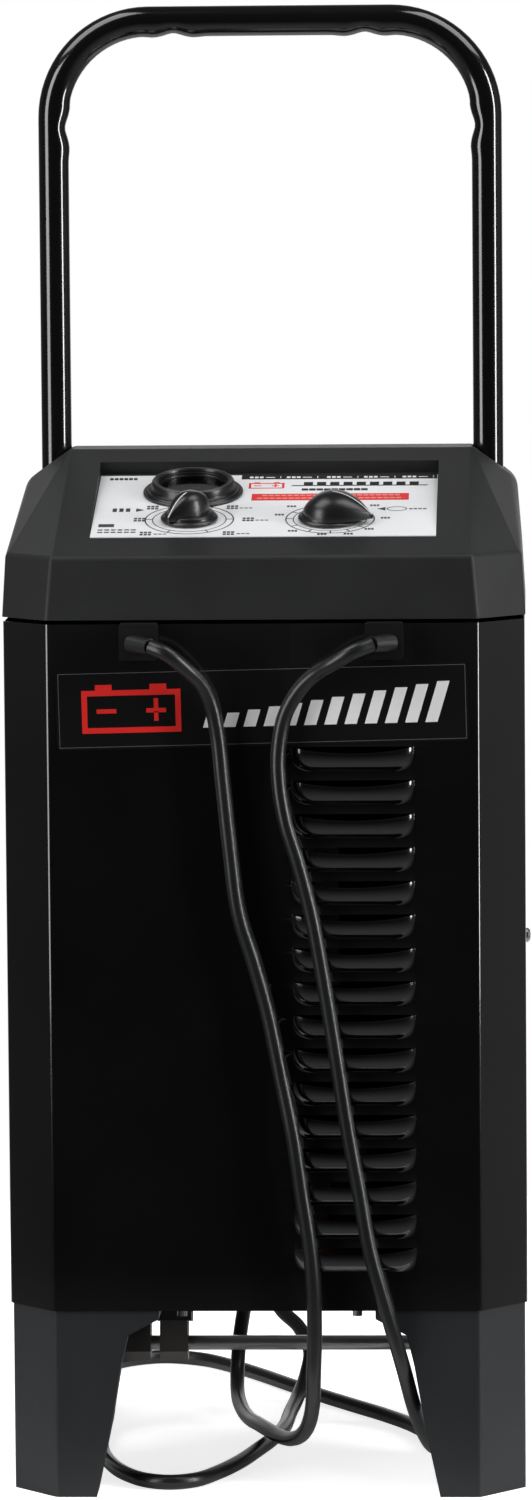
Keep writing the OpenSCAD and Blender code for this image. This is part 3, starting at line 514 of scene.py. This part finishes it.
# How a louvre rounds off towards its ends and towards its foot, and how full it is between them.
END_POWER, FOOT_POWER, CROWN_POWER = 1.8, 2.6, 0.75
END_ANGLE_STEP, MIDDLE_COLUMNS = 10, 5
LOUVRE_LEVELS = (0, 0.08, 0.18, 0.3, 0.43, 0.56, 0.68, 0.79, 0.88, 0.95, 1)
UNDER_LOUVRE = 0.4 * MM  # a flat row just below each louvre keeps its foot crisp
FRONT_COLUMNS_LEFT, FRONT_COLUMN_RIGHT = (-90 * MM, -30 * MM, 0), 110 * MM
TINY = 1e-6


def louvre_columns():
    """Places across a louvre, closest together at its rounded ends."""
    half = LOUVRE_W / 2
    ends = [half - LOUVRE_END * (1 - sin(radians(a))) for a in range(0, 91, END_ANGLE_STEP)]
    middle = [i * ends[0] / MIDDLE_COLUMNS for i in range(1, MIDDLE_COLUMNS)]
    right = middle + ends
    return [LOUVRE_X - x for x in reversed(right)] + [LOUVRE_X] + [LOUVRE_X + x for x in right]


def shell_outline():
    """Plan of the bent sheet, from its left rear flange round to the right one."""
    half = [(FRONT_HALF, FRONT), (HALF_W, FRONT + CHAMFER), (HALF_W, WRAP_REAR),
            (HALF_W - FLANGE, WRAP_REAR)]
    bends = rounded_outline([(-x, y) for x, y in reversed(half)] + half, BEND_R, BEND_STEPS)
    left = [p for p in bends if p[0] < 0]
    right = [p for p in bends if p[0] > 0]
    front = [(x, FRONT) for x in (*FRONT_COLUMNS_LEFT, *louvre_columns(), FRONT_COLUMN_RIGHT)]
    return left + front + right


def louvre_height(x, b):
    """How far the sheet stands out at x, b of the way down from the lip to the louvre's foot."""
    a = max(0, abs(x - LOUVRE_X) - LOUVRE_W / 2 + LOUVRE_END) / LOUVRE_END
    return LOUVRE_OUT * max(0, 1 - a ** END_POWER - b ** FOOT_POWER) ** CROWN_POWER


def make_shell():
    """The bent sheet with its pressed louvres, each open along its upper lip."""
    outline = shell_outline()
    inside = [abs(x - LOUVRE_X) < LOUVRE_W / 2 - TINY and abs(y - FRONT) < TINY for x, y in outline]
    verts, rows, lips = [], [], []

    def add_row(z, b=None):
        """One level of the sheet; within the louvre's width, the level that is b of the way down it."""
        rows.append([len(verts) + i for i in range(len(outline))])
        for (x, y), is_in in zip(outline, inside):
            if is_in and b is not None:
                dip = LIP_DROP * (1 - ((x - LOUVRE_X) / (LOUVRE_W / 2)) ** 2)
                verts.append((x, y - louvre_height(x, b), z - dip * (1 - b)))
            else:
                verts.append((x, y, z))

    add_row(CAB_HIGH.z)
    for i in range(LOUVRE_COUNT):
        top = LOUVRE_TOP - i * LOUVRE_PITCH
        add_row(top)
        lips.append(len(rows) - 1)
        for b in LOUVRE_LEVELS:
            add_row(top - b * LOUVRE_H, b)
        add_row(top - LOUVRE_H - UNDER_LOUVRE)
    add_row(CAB_LOW.z)
    faces = []
    for r, (upper, lower) in enumerate(zip(rows, rows[1:])):
        if r not in lips:
            faces += [(upper[c], lower[c], lower[c + 1], upper[c + 1]) for c in range(len(outline) - 1)]
    shell = mesh_object("cabinet_shell", verts, faces, slot="cabinet_paint", material=gloss_paint())
    work = bmesh.new()
    work.from_mesh(shell.data)
    bmesh.ops.remove_doubles(work, verts=work.verts, dist=TINY)
    bmesh.ops.recalc_face_normals(work, faces=work.faces)
    flat = [f for f in work.faces if abs(f.calc_center_median().y - FRONT) < 10 * TINY]
    if max(flat, key=lambda f: f.calc_area()).normal.y > 0:
        bmesh.ops.reverse_faces(work, faces=work.faces)
    bmesh.ops.solidify(work, geom=work.faces[:], thickness=SHEET)
    work.to_mesh(shell.data)
    work.free()
    sharpen(shell.data, 38)
    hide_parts("cabinet_wrap")


make_shell()


# ==== printed artwork, as thin closed pieces

INK = 0.08 * MM  # how far a print stands off the surface it is on


def print_piece(name, shapes, to_world, **kw):
    """Flat outlines, each a list of (x, y), raised by the ink's thickness along the local z axis."""
    verts, faces = [], []
    for shape in shapes:
        n, first = len(shape), len(verts)
        verts += [to_world @ Vector((x, y, 0)) for x, y in shape]
        verts += [to_world @ Vector((x, y, INK)) for x, y in shape]
        faces.append([first + i for i in reversed(range(n))])
        faces.append([first + n + i for i in range(n)])
        faces += [(first + i, first + (i + 1) % n, first + n + (i + 1) % n, first + n + i)
                  for i in range(n)]
    return mesh_object(name, verts, faces, smooth=False, **kw)


def bar(x, y, w, h, lean=0.0):
    """A bar whose lower left corner is at x, y; lean slants it, in width per height."""
    return [(x, y), (x + w, y), (x + w + lean * h, y + h), (x + lean * h, y + h)]


def arc_strips(cx, cy, r, width, start=0, stop=360, step=10):
    """A ring, or part of one from start to stop in degrees, as short strips side by side."""
    out = []
    for a in range(start, stop, step):
        turns = [radians(t) for t in (a, a + step / 2, a + step)]
        inner = [(cx + r * cos(t), cy + r * sin(t)) for t in turns]
        outer = [(cx + (r + width) * cos(t), cy + (r + width) * sin(t)) for t in reversed(turns)]
        out.append(inner + outer)
    return out


def mm(shapes):
    """Outlines given in millimetres, in metres."""
    return [[(x * MM, y * MM) for x, y in shape] for shape in shapes]


def battery_icon(x, y, w, h):
    """A battery seen from the side: case, two terminals, a minus and a plus."""
    t = h * 0.13
    case = [bar(x, y, w, t), bar(x, y + h - t, w, t), bar(x, y + t, t, h - 2 * t),
            bar(x + w - t, y + t, t, h - 2 * t)]
    posts = [bar(x + w * at, y + h, w * 0.17, t) for at in (0.14, 0.69)]
    mark, thick = w * 0.2, t * 0.8
    middle, plus_x = y + h * 0.46, x + w * 0.65
    upright = plus_x + mark / 2 - thick / 2
    minus = [bar(x + w * 0.15, middle, mark, thick)]
    plus = [bar(plus_x, middle, mark, thick),
            bar(upright, y + h * 0.5 - mark / 2 - t * 0.05, thick, mark / 2 - t * 0.05),
            bar(upright, middle + thick, thick, mark / 2)]
    return case + posts + minus + plus


def print_ink(name, color, rough=0.4):
    return material(name, color, rough, grain=1800, bump=0.03, tint=0.06)


def red_ink():
    return print_ink("red_ink", (0.72, 0.018, 0.014))


def white_ink():
    return print_ink("white_ink", (0.8, 0.8, 0.8))


def black_ink():
    return print_ink("black_ink", (0.02, 0.02, 0.022))


BRAND_PLACE = (Matrix.Translation((0, FRONT - 0.4 * MM, 485 * MM))
               @ Matrix.Rotation(radians(-1.2), 4, "Y") @ Matrix.Rotation(radians(90), 4, "X"))
LABEL_HALF_W, LABEL_HALF_H, LABEL_LINE = 123, 22.5, 0.35
GAUGE_BARS, GAUGE_PITCH, GAUGE_BAR_W, GAUGE_LEAN = 12, 12.2, 7.4, 0.32
GAUGE_AT, GAUGE_FIRST_H, GAUGE_GROWS = (-36, -12), 7, 1.6
LABEL_BATTERY, PANEL_BATTERY = (-109, -14, 60, 26), (-12, 92.5, 22, 10.5)  # x, y, width, height


def brand_artwork():
    """A thin border, a battery, and a row of leaning bars that rise like a charge gauge."""
    w, h, line = LABEL_HALF_W, LABEL_HALF_H, LABEL_LINE
    border = [bar(-w, -h, 2 * w, line), bar(-w, h - line, 2 * w, line)]
    border += [bar(x, -h + line, line, 2 * h - 2 * line) for x in (-w, w - line)]
    print_piece("label_border", mm(border), BRAND_PLACE, slot="label_film",
                material=print_ink("grey_ink", (0.09, 0.09, 0.09)))
    print_piece("label_battery", mm(battery_icon(*LABEL_BATTERY)), BRAND_PLACE, slot="label_film",
                material=red_ink())
    x, y = GAUGE_AT
    gauge = [bar(x + i * GAUGE_PITCH, y, GAUGE_BAR_W, GAUGE_FIRST_H + i * GAUGE_GROWS, lean=GAUGE_LEAN)
             for i in range(GAUGE_BARS)]
    print_piece("label_gauge", mm(gauge), BRAND_PLACE, slot="label_film", material=white_ink())


# The control panel's own frame: x across, y up its slope, z out of it. Places on it are in millimetres.
PANEL = (Matrix.Translation((0, FRONT + 30 * MM, 585.06 * MM)) @ Matrix.Rotation(radians(15), 4, "X")
         @ Matrix.Translation((0, 0, 0.5 * MM)))
METER_AT, RATE_AT, TIMER_AT = (-46, 85), (-46, 32.8), (40, 32.8)
DIAL_RINGS = ((22.2, 0.6), (26.6, 0.8))  # radius and width
TICK_FROM, TICK_TO, TICK_HALF = 22.6, 27.2, 0.4
RATE_TICKS = (-62, -118, 2, 60, 178, 122)  # degrees
TIMER_TICKS = (-62, -88, -118, -38, -150, 178, 150, 30, 2, 120)
# Words in their places: how many dashes, their length and height, and their step if it is a wide one.
RATE_WORD, RATE_UNIT = (3, 1.9, 2.8, 2.5), (3, 2.1, 1.5)
TIMER_WORD, STRIP_WORD = (3, 1.5, 3), (3, 2.3, 3)
WORD_ROW = 4  # from a rate's lower row to its upper one
RATE_WORDS = ((-73, 53), (-24, 53), (-80, 30), (-13.5, 29.5), (-75, 3.5), (-24.5, 3.5))
RATE_UNITS = ((-16, 54), (-5.5, 30.5), (-66.5, 5), (-16, 5))
TIMER_WORDS = ((13, 56), (6, 40), (15, 9), (64, 57), (71, 33), (61.5, 12), (49, 3), (33, 2.5))
# Other rows of dashes: place, how many, length, height, step.
OTHER_WORDS = (
    (-94, 48.5, 3, 2.6, 6.5, 4.1), (88, 50.6, 4, 2.1, 2, None), (-99, 110.5, 6, 2.2, 4, None),
    (-101, 13, 6, 3, 2, None), (-101, 8.5, 6, 3, 2, None), (21, 88, 9, 4, 4, 4.6),
    (22, 98.6, 9, 5.6, 6, 8.2))
ARROWS = (((-79.5, 48.5), (-74.5, 51.8), (-79.5, 55)), ((73.5, 48.5), (73.5, 55), (68.5, 51.8)))
OVAL_AT, OVAL_R, OVAL_LINE = (80.5, 51.8), (5.6, 3.4), 0.7
SMALL_BLOCK, LONG_RULE, RULE_LEAN = (-101, 19.5, 9.5, 5.6), (14, 97, 84, 1.6), 0.8
STRIP, STRIP_WORDS, STRIP_WORD_Y = (-17, 110.6, 121.6, 8.2), (-12, 11, 36, 59, 83), 112.6
STRIP_DASH, STRIP_RULE = (10, 113.4, 5.6, 1.2), (19, 112.4, 0.5, 3.6)  # the x is from the word's
BAND, BAND_ROWS = (-9.5, 69, 97, 13), ((-3, 77.5, 22, 3, 2.2, 3.9), (-6, 72, 23, 3, 2.2, 3.9))
DASH_STEP = 1.35


def dashes(x, y, count, length, height, step=None):
    """A row of short bars in the place of a word, its first at x, y."""
    step = step or length * DASH_STEP
    return [bar(x + i * step, y, length, height) for i in range(count)]


def dial_print(at, ticks):
    """Two rings round a knob, with ticks across them."""
    cx, cy = at
    out = []
    for r, width in DIAL_RINGS:
        out += arc_strips(cx, cy, r, width)
    corners = ((TICK_FROM, -TICK_HALF), (TICK_TO, -TICK_HALF), (TICK_TO, TICK_HALF),
               (TICK_FROM, TICK_HALF))
    for a in ticks:
        u, v = cos(radians(a)), sin(radians(a))
        out.append([(cx + r * u + side * v, cy + r * v - side * u) for r, side in corners])
    return out


def oval(step=10):
    """A thin oval line, in short strips."""
    out = []
    for a in range(0, 360, step):
        corners = ((0, a), (0, a + step), (OVAL_LINE, a + step), (OVAL_LINE, a))
        out.append([(OVAL_AT[0] + (OVAL_R[0] + r) * cos(radians(t)),
                     OVAL_AT[1] + (OVAL_R[1] + r) * sin(radians(t))) for r, t in corners])
    return out


def panel_artwork():
    """The panel's print. None of it is lettering: dashes and bars are in the place of the words."""
    ink = dial_print(RATE_AT, RATE_TICKS) + dial_print(TIMER_AT, TIMER_TICKS)
    for x, y in RATE_WORDS:
        ink += dashes(x, y, *RATE_WORD) + dashes(x, y + WORD_ROW, *RATE_WORD)
    for x, y in RATE_UNITS:
        ink += dashes(x, y, *RATE_UNIT)
    for x, y in TIMER_WORDS:
        ink += dashes(x, y, *TIMER_WORD)
    for row in OTHER_WORDS:
        ink += dashes(*row)
    ink += [list(arrow) for arrow in ARROWS] + oval()
    ink += [bar(*SMALL_BLOCK), bar(*LONG_RULE, lean=RULE_LEAN)]
    print_piece("panel_ink", mm(ink), PANEL, slot="panel_print", material=black_ink())
    print_piece("panel_strip", mm([bar(*STRIP)]), PANEL, slot="panel_print", material=black_ink())
    top = PANEL @ Matrix.Translation((0, 0, INK))
    marks = []
    for x in STRIP_WORDS:
        marks += dashes(x, STRIP_WORD_Y, *STRIP_WORD)
        marks += [bar(x + along, *rest) for along, *rest in (STRIP_DASH, STRIP_RULE)]
    print_piece("panel_marks", mm(marks), top, slot="panel_print", material=white_ink())
    print_piece("panel_battery", mm(battery_icon(*PANEL_BATTERY)), PANEL, slot="panel_print",
                material=red_ink())
    print_piece("panel_band", mm([bar(*BAND)]), PANEL, slot="panel_print", material=red_ink())
    notes = [shape for row in BAND_ROWS for shape in dashes(*row)]
    print_piece("panel_notes", mm(notes), top, slot="panel_print",
                material=print_ink("pink_ink", (0.7, 0.3, 0.3)))


brand_artwork()
panel_artwork()


# ==== handle

HANDLE_BEND, HANDLE_ARC_STEP, HANDLE_STEP, HANDLE_AROUND = 60 * MM, 5, 2.5 * MM, 28
GRIP_BELOW, GRIP_BESIDE = 6 * MM, 16 * MM  # how far from a bend the bender gripped the tube
DENT, DENT_LONG, DENT_POWER = 2 * MM, 5.5 * MM, 1.6  # the power keeps it to the tube's inner side
SWELL, SWELL_LONG, SWELL_OFF = 0.7 * MM, 5 * MM, 13 * MM  # a low ridge on each side of a dent


def handle_path(half, low, top):
    """Points close together along the bent tube, from its right foot over the top to its left."""
    bend = HANDLE_BEND
    line = [(half, low), (half, top - bend)]
    for a in range(HANDLE_ARC_STEP, 90, HANDLE_ARC_STEP):
        line.append((half - bend + bend * cos(radians(a)), top - bend + bend * sin(radians(a))))
    line += [(half - bend, top), (0, top)]
    line += [(-x, z) for x, z in reversed(line[:-1])]
    path = []
    for (x0, z0), (x1, z1) in zip(line, line[1:]):
        steps = max(1, int(hypot(x1 - x0, z1 - z0) / HANDLE_STEP))
        path += [(x0 + (x1 - x0) * k / steps, z0 + (z1 - z0) * k / steps) for k in range(steps)]
    return path + [line[-1]]


def make_handle():
    """The bent tube, dented on its inner side where the bender gripped it."""
    low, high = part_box("handle")
    r = (high.y - low.y) / 2
    half, top, depth = high.x - r, high.z - r, (low.y + high.y) / 2
    path = handle_path(half, low.z, top)
    side, arch = top - HANDLE_BEND - low.z, HANDLE_BEND * pi / 2
    total = 2 * side + 2 * arch + 2 * (half - HANDLE_BEND)
    grips = [side - GRIP_BELOW, side + arch + GRIP_BESIDE,
             total - side - arch - GRIP_BESIDE, total - side + GRIP_BELOW]
    verts, faces, around, walked = [], [], HANDLE_AROUND, 0.0
    for i, (x, z) in enumerate(path):
        before, after = path[max(0, i - 1)], path[min(len(path) - 1, i + 1)]
        run = Vector((after[0] - before[0], 0, after[1] - before[1])).normalized()
        inward = Vector((0, 1, 0)).cross(run)
        if inward.x * x + inward.z * (z - top + HANDLE_BEND) > 0:
            inward.negate()
        if i:
            walked += hypot(x - path[i - 1][0], z - path[i - 1][1])
        off = [abs(walked - g) for g in grips]
        dent = sum(DENT * exp(-(d / DENT_LONG) ** 2) for d in off)
        swell = sum(SWELL * exp(-((d - SWELL_OFF) / SWELL_LONG) ** 2) for d in off)
        for k in range(around):
            a = 2 * pi * k / around
            reach = r - (dent - swell) * max(0, cos(a)) ** DENT_POWER
            verts.append(Vector((x, depth + reach * sin(a), z)) + inward * reach * cos(a))
    for i in range(len(path) - 1):
        faces += [(i * around + k, i * around + (k + 1) % around,
                   (i + 1) * around + (k + 1) % around, (i + 1) * around + k) for k in range(around)]
    faces += [list(range(around)), [len(verts) - around + k for k in range(around)]]
    tube = mesh_object("handle_tube", verts, faces, slot="handle_paint", material=gloss_paint())
    sharpen(tube.data, 50)
    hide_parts("handle")


make_handle()


# ==== ammeter and knobs

BEZEL_TURNS, KNOB_TURNS = 96, 72
# The bezel's closed section, as radius and height above the panel.
BEZEL = (
    (21, -16), (23.4, -16), (23.4, 0), (30.8, 0), (30.8, 1.4), (30.2, 2), (29.2, 2), (28.6, 2.6),
    (28.6, 3.2), (27.4, 3.2), (26.9, 3.8), (26.1, 3.8), (25.8, 4.6), (25.5, 7.2), (25, 8.2),
    (24.4, 8.6), (23.5, 8.6), (23.1, 8.1), (22.7, 8.1), (22.4, 8.4), (22, 8.4), (21.6, 7.6),
    (21.6, 6.4), (21.2, 6.2), (21.2, 4.8), (21, 4.6))
DIAL_Y, DIAL_R, DIAL_FROM, DIAL_TO, ZONE_TO = -9, 14.2, 44, 134, 74  # millimetres, then degrees
DIAL_FACE = (0, 2.2 * MM, -4 * MM)
SCALE_R, SCALE_STEP, SCALE_LONG_STEP, SCALE_HALF = 14.6, 6, 18, 0.16
SCALE_LONG, SCALE_SHORT = 3.4, 2
ZONE_R, ZONE_W, DIAL_LINE = 18.4, 1.3, 0.35


def turned_points(place, profile, turns):
    """The points of a turned form, one list for each turn; the profile is in millimetres."""
    out = []
    for k in range(turns):
        u, v = cos(2 * pi * k / turns), sin(2 * pi * k / turns)
        out.append([place @ (Vector((r * u, r * v, z)) * MM) for r, z in profile])
    return out


def make_meter():
    """The ammeter's stepped bezel, with a scale and a red zone on its dial."""
    place = PANEL @ Matrix.Translation((METER_AT[0] * MM, METER_AT[1] * MM, 0))
    n, turns = len(BEZEL), BEZEL_TURNS
    verts = [p for ring in turned_points(place, BEZEL, turns) for p in ring]
    faces = [(k * n + i, k * n + (i + 1) % n, (k + 1) % turns * n + (i + 1) % n, (k + 1) % turns * n + i)
             for k in range(turns) for i in range(n)]
    bezel = mesh_object("meter_bezel", verts, faces, slot="meter_plastic", material=knob_plastic())
    sharpen(bezel.data, 30)
    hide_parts("meter_housing")
    scale = arc_strips(0, DIAL_Y, DIAL_R, DIAL_LINE, DIAL_FROM, DIAL_TO)
    for a in range(DIAL_FROM, DIAL_TO + 1, SCALE_STEP):
        long = SCALE_SHORT if (a - DIAL_FROM) % SCALE_LONG_STEP else SCALE_LONG
        u, v = cos(radians(a)), sin(radians(a))
        corners = ((0, -SCALE_HALF), (long, -SCALE_HALF), (long, SCALE_HALF), (0, SCALE_HALF))
        scale.append([((SCALE_R + r) * u + w * v, DIAL_Y + (SCALE_R + r) * v - w * u)
                      for r, w in corners])
    face = place @ Matrix.Translation(DIAL_FACE)
    print_piece("dial_scale", mm(scale), face, slot="meter_face", material=white_ink())
    print_piece("dial_zone", mm(arc_strips(0, DIAL_Y, ZONE_R, ZONE_W, DIAL_FROM, ZONE_TO)), face,
                slot="meter_face", material=red_ink())


make_meter()


# The skirt's section, as how far inside its radius and how high above the panel, and its flat top.
SKIRT = ((0.4, 0.6), (0, 1.0), (0, 1.9), (0.7, 2.7), (2, 3.1), (2.6, 4.6), (3.4, 5.2))
SKIRT_TOP = (6, 5.4)
GRIP_PEAK = 0.43  # how far along the grip it is widest and highest
GRIP_SEAT, GRIP_INSET = 3.4, 3  # where the grip starts, above the panel and inside the skirt's edge
GRIP_STATIONS, GRIP_AROUND = 26, 20
GRIP_LEAST_W, GRIP_LEAST_H = 0.5, 0.8
GRIP_BACK_GAP, GRIP_TIP_GAP = 0.05, 0.02  # keeps its end sections from closing to a point
BACK_W_POWER, BACK_H_POWER = 2.2, 2.4  # how blunt the grip is behind its peak
TIP_W_POWER, TIP_H_POWER, TIP_FALL = 1.7, 2, 0.86  # how it narrows and falls to the pointer
# How far the back falls, and the powers that round a section's sides and its top.
DOMED, FLAT_SIDED = (0.8, 0.9, 0.95), (0.45, 0.7, 0.85)
LINE_HALF, LINE_DEEP, LINE_PROUD, LINE_STEPS = 0.45, 0.3, 0.06, 8
LINE_START, LINE_STOP = 2, 0.6  # from the knob's middle, and short of the pointer's tip


def pointer_knob(name, node, at, points, skirt_r, reach, wide, high, dome):
    """A moulded skirt with a grip that narrows to a pointer; dome makes it rounder in every section."""
    place = (PANEL @ Matrix.Translation((at[0] * MM, at[1] * MM, 0))
             @ Matrix.Rotation(radians(points), 4, "Z"))
    profile = [(skirt_r - inset, z) for inset, z in SKIRT] + [SKIRT_TOP]
    n, turns = len(profile), KNOB_TURNS
    verts = [p for ring in turned_points(place, profile, turns) for p in ring]
    faces = [(k * n + j, (k + 1) % turns * n + j, (k + 1) % turns * n + j + 1, k * n + j + 1)
             for j in range(n - 1) for k in range(turns)]
    faces += [[k * n for k in reversed(range(turns))], [k * n + n - 1 for k in range(turns)]]
    back = GRIP_INSET - skirt_r
    back_fall, side_power, top_power = DOMED if dome else FLAT_SIDED
    first = len(verts)

    def shape_at(u):
        """Half the grip's width, and its height above its seat, at u along the pointer."""
        t = (u - back) / (reach - back)
        if t < GRIP_PEAK:
            share = 1 - t / GRIP_PEAK
            width = wide * sqrt(max(0, 1 - share ** BACK_W_POWER))
            rise = high * (1 - share ** BACK_H_POWER * back_fall)
        else:
            share = (t - GRIP_PEAK) / (1 - GRIP_PEAK)
            width = wide * (1 - share ** TIP_W_POWER)
            rise = high * (1 - share ** TIP_H_POWER * TIP_FALL)
        return max(width, GRIP_LEAST_W), max(rise, GRIP_LEAST_H)

    for i in range(GRIP_STATIONS + 1):
        u = back + (reach - back) * (1 - cos(pi * i / GRIP_STATIONS)) / 2
        width, rise = shape_at(min(max(u, back + GRIP_BACK_GAP), reach - GRIP_TIP_GAP))
        for k in range(GRIP_AROUND + 1):
            a = pi * k / GRIP_AROUND
            v = width * (1 if cos(a) > 0 else -1) * abs(cos(a)) ** side_power
            z = GRIP_SEAT + rise * sin(a) ** top_power
            verts.append(place @ (Vector((u, v, z)) * MM))
    ring = GRIP_AROUND + 1
    faces += [(first + i * ring + k, first + i * ring + (k + 1) % ring,
               first + (i + 1) * ring + (k + 1) % ring, first + (i + 1) * ring + k)
              for i in range(GRIP_STATIONS) for k in range(ring)]
    faces += [[first + k for k in range(ring)],
              [first + GRIP_STATIONS * ring + k for k in reversed(range(ring))]]
    knob = mesh_object(name, verts, faces, body=node, slot="knob_plastic", material=knob_plastic())
    sharpen(knob.data, 40)
    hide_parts(node)

    # A pale strip along the grip's ridge: partly a printed pointer line, partly a painted highlight on
    # the ridge.
    crest = []
    for i in range(LINE_STEPS + 1):
        u = LINE_START + (reach - LINE_START - LINE_STOP) * i / LINE_STEPS
        crest.append((u, GRIP_SEAT + shape_at(u)[1] + LINE_PROUD))
    verts = [place @ (Vector((u, side, z - drop)) * MM)
             for drop in (0, LINE_DEEP) for side in (-LINE_HALF, LINE_HALF) for u, z in crest]
    n = len(crest)
    faces = [(0, n, 3 * n, 2 * n), (n - 1, 3 * n - 1, 4 * n - 1, 2 * n - 1)]
    for i in range(LINE_STEPS):
        faces += [(i, i + 1, n + i + 1, n + i), (2 * n + i, 3 * n + i, 3 * n + i + 1, 2 * n + i + 1),
                  (i, 2 * n + i, 2 * n + i + 1, i + 1), (n + i, n + i + 1, 3 * n + i + 1, 3 * n + i)]
    mesh_object(name + "_line_and_highlight", verts, faces, body=node, slot="knob_plastic",
                material=print_ink("pointer_ink_and_highlight", (0.62, 0.62, 0.6)))


pointer_knob("rate_knob_grip", "rate_knob", RATE_AT, points=230, skirt_r=17.5, reach=19.5, wide=10.5,
             high=14.8, dome=False)
pointer_knob("timer_knob_grip", "timer_knob", TIMER_AT, points=-20, skirt_r=19.5, reach=28, wide=17.5,
             high=14.6, dome=True)


# ==== materials of the carried-over CAD pieces and of the cables

def dress_nodes():
    """Gives each CAD piece the finish of its material slot."""
    slots = {s["node"]: s["material_slot"] for s in frame["record"]["subparts"]}
    for name, node in NODES.items():
        slot = slots[name]
        made = FINISH[slot]() if slot in FINISH else plain_finish(slot)
        node.data.materials.clear()
        node.data.materials.append(made)


dress_nodes()
for run in (LEFT_CABLE, RIGHT_CABLE):
    run.data.materials.append(cable_rubber())
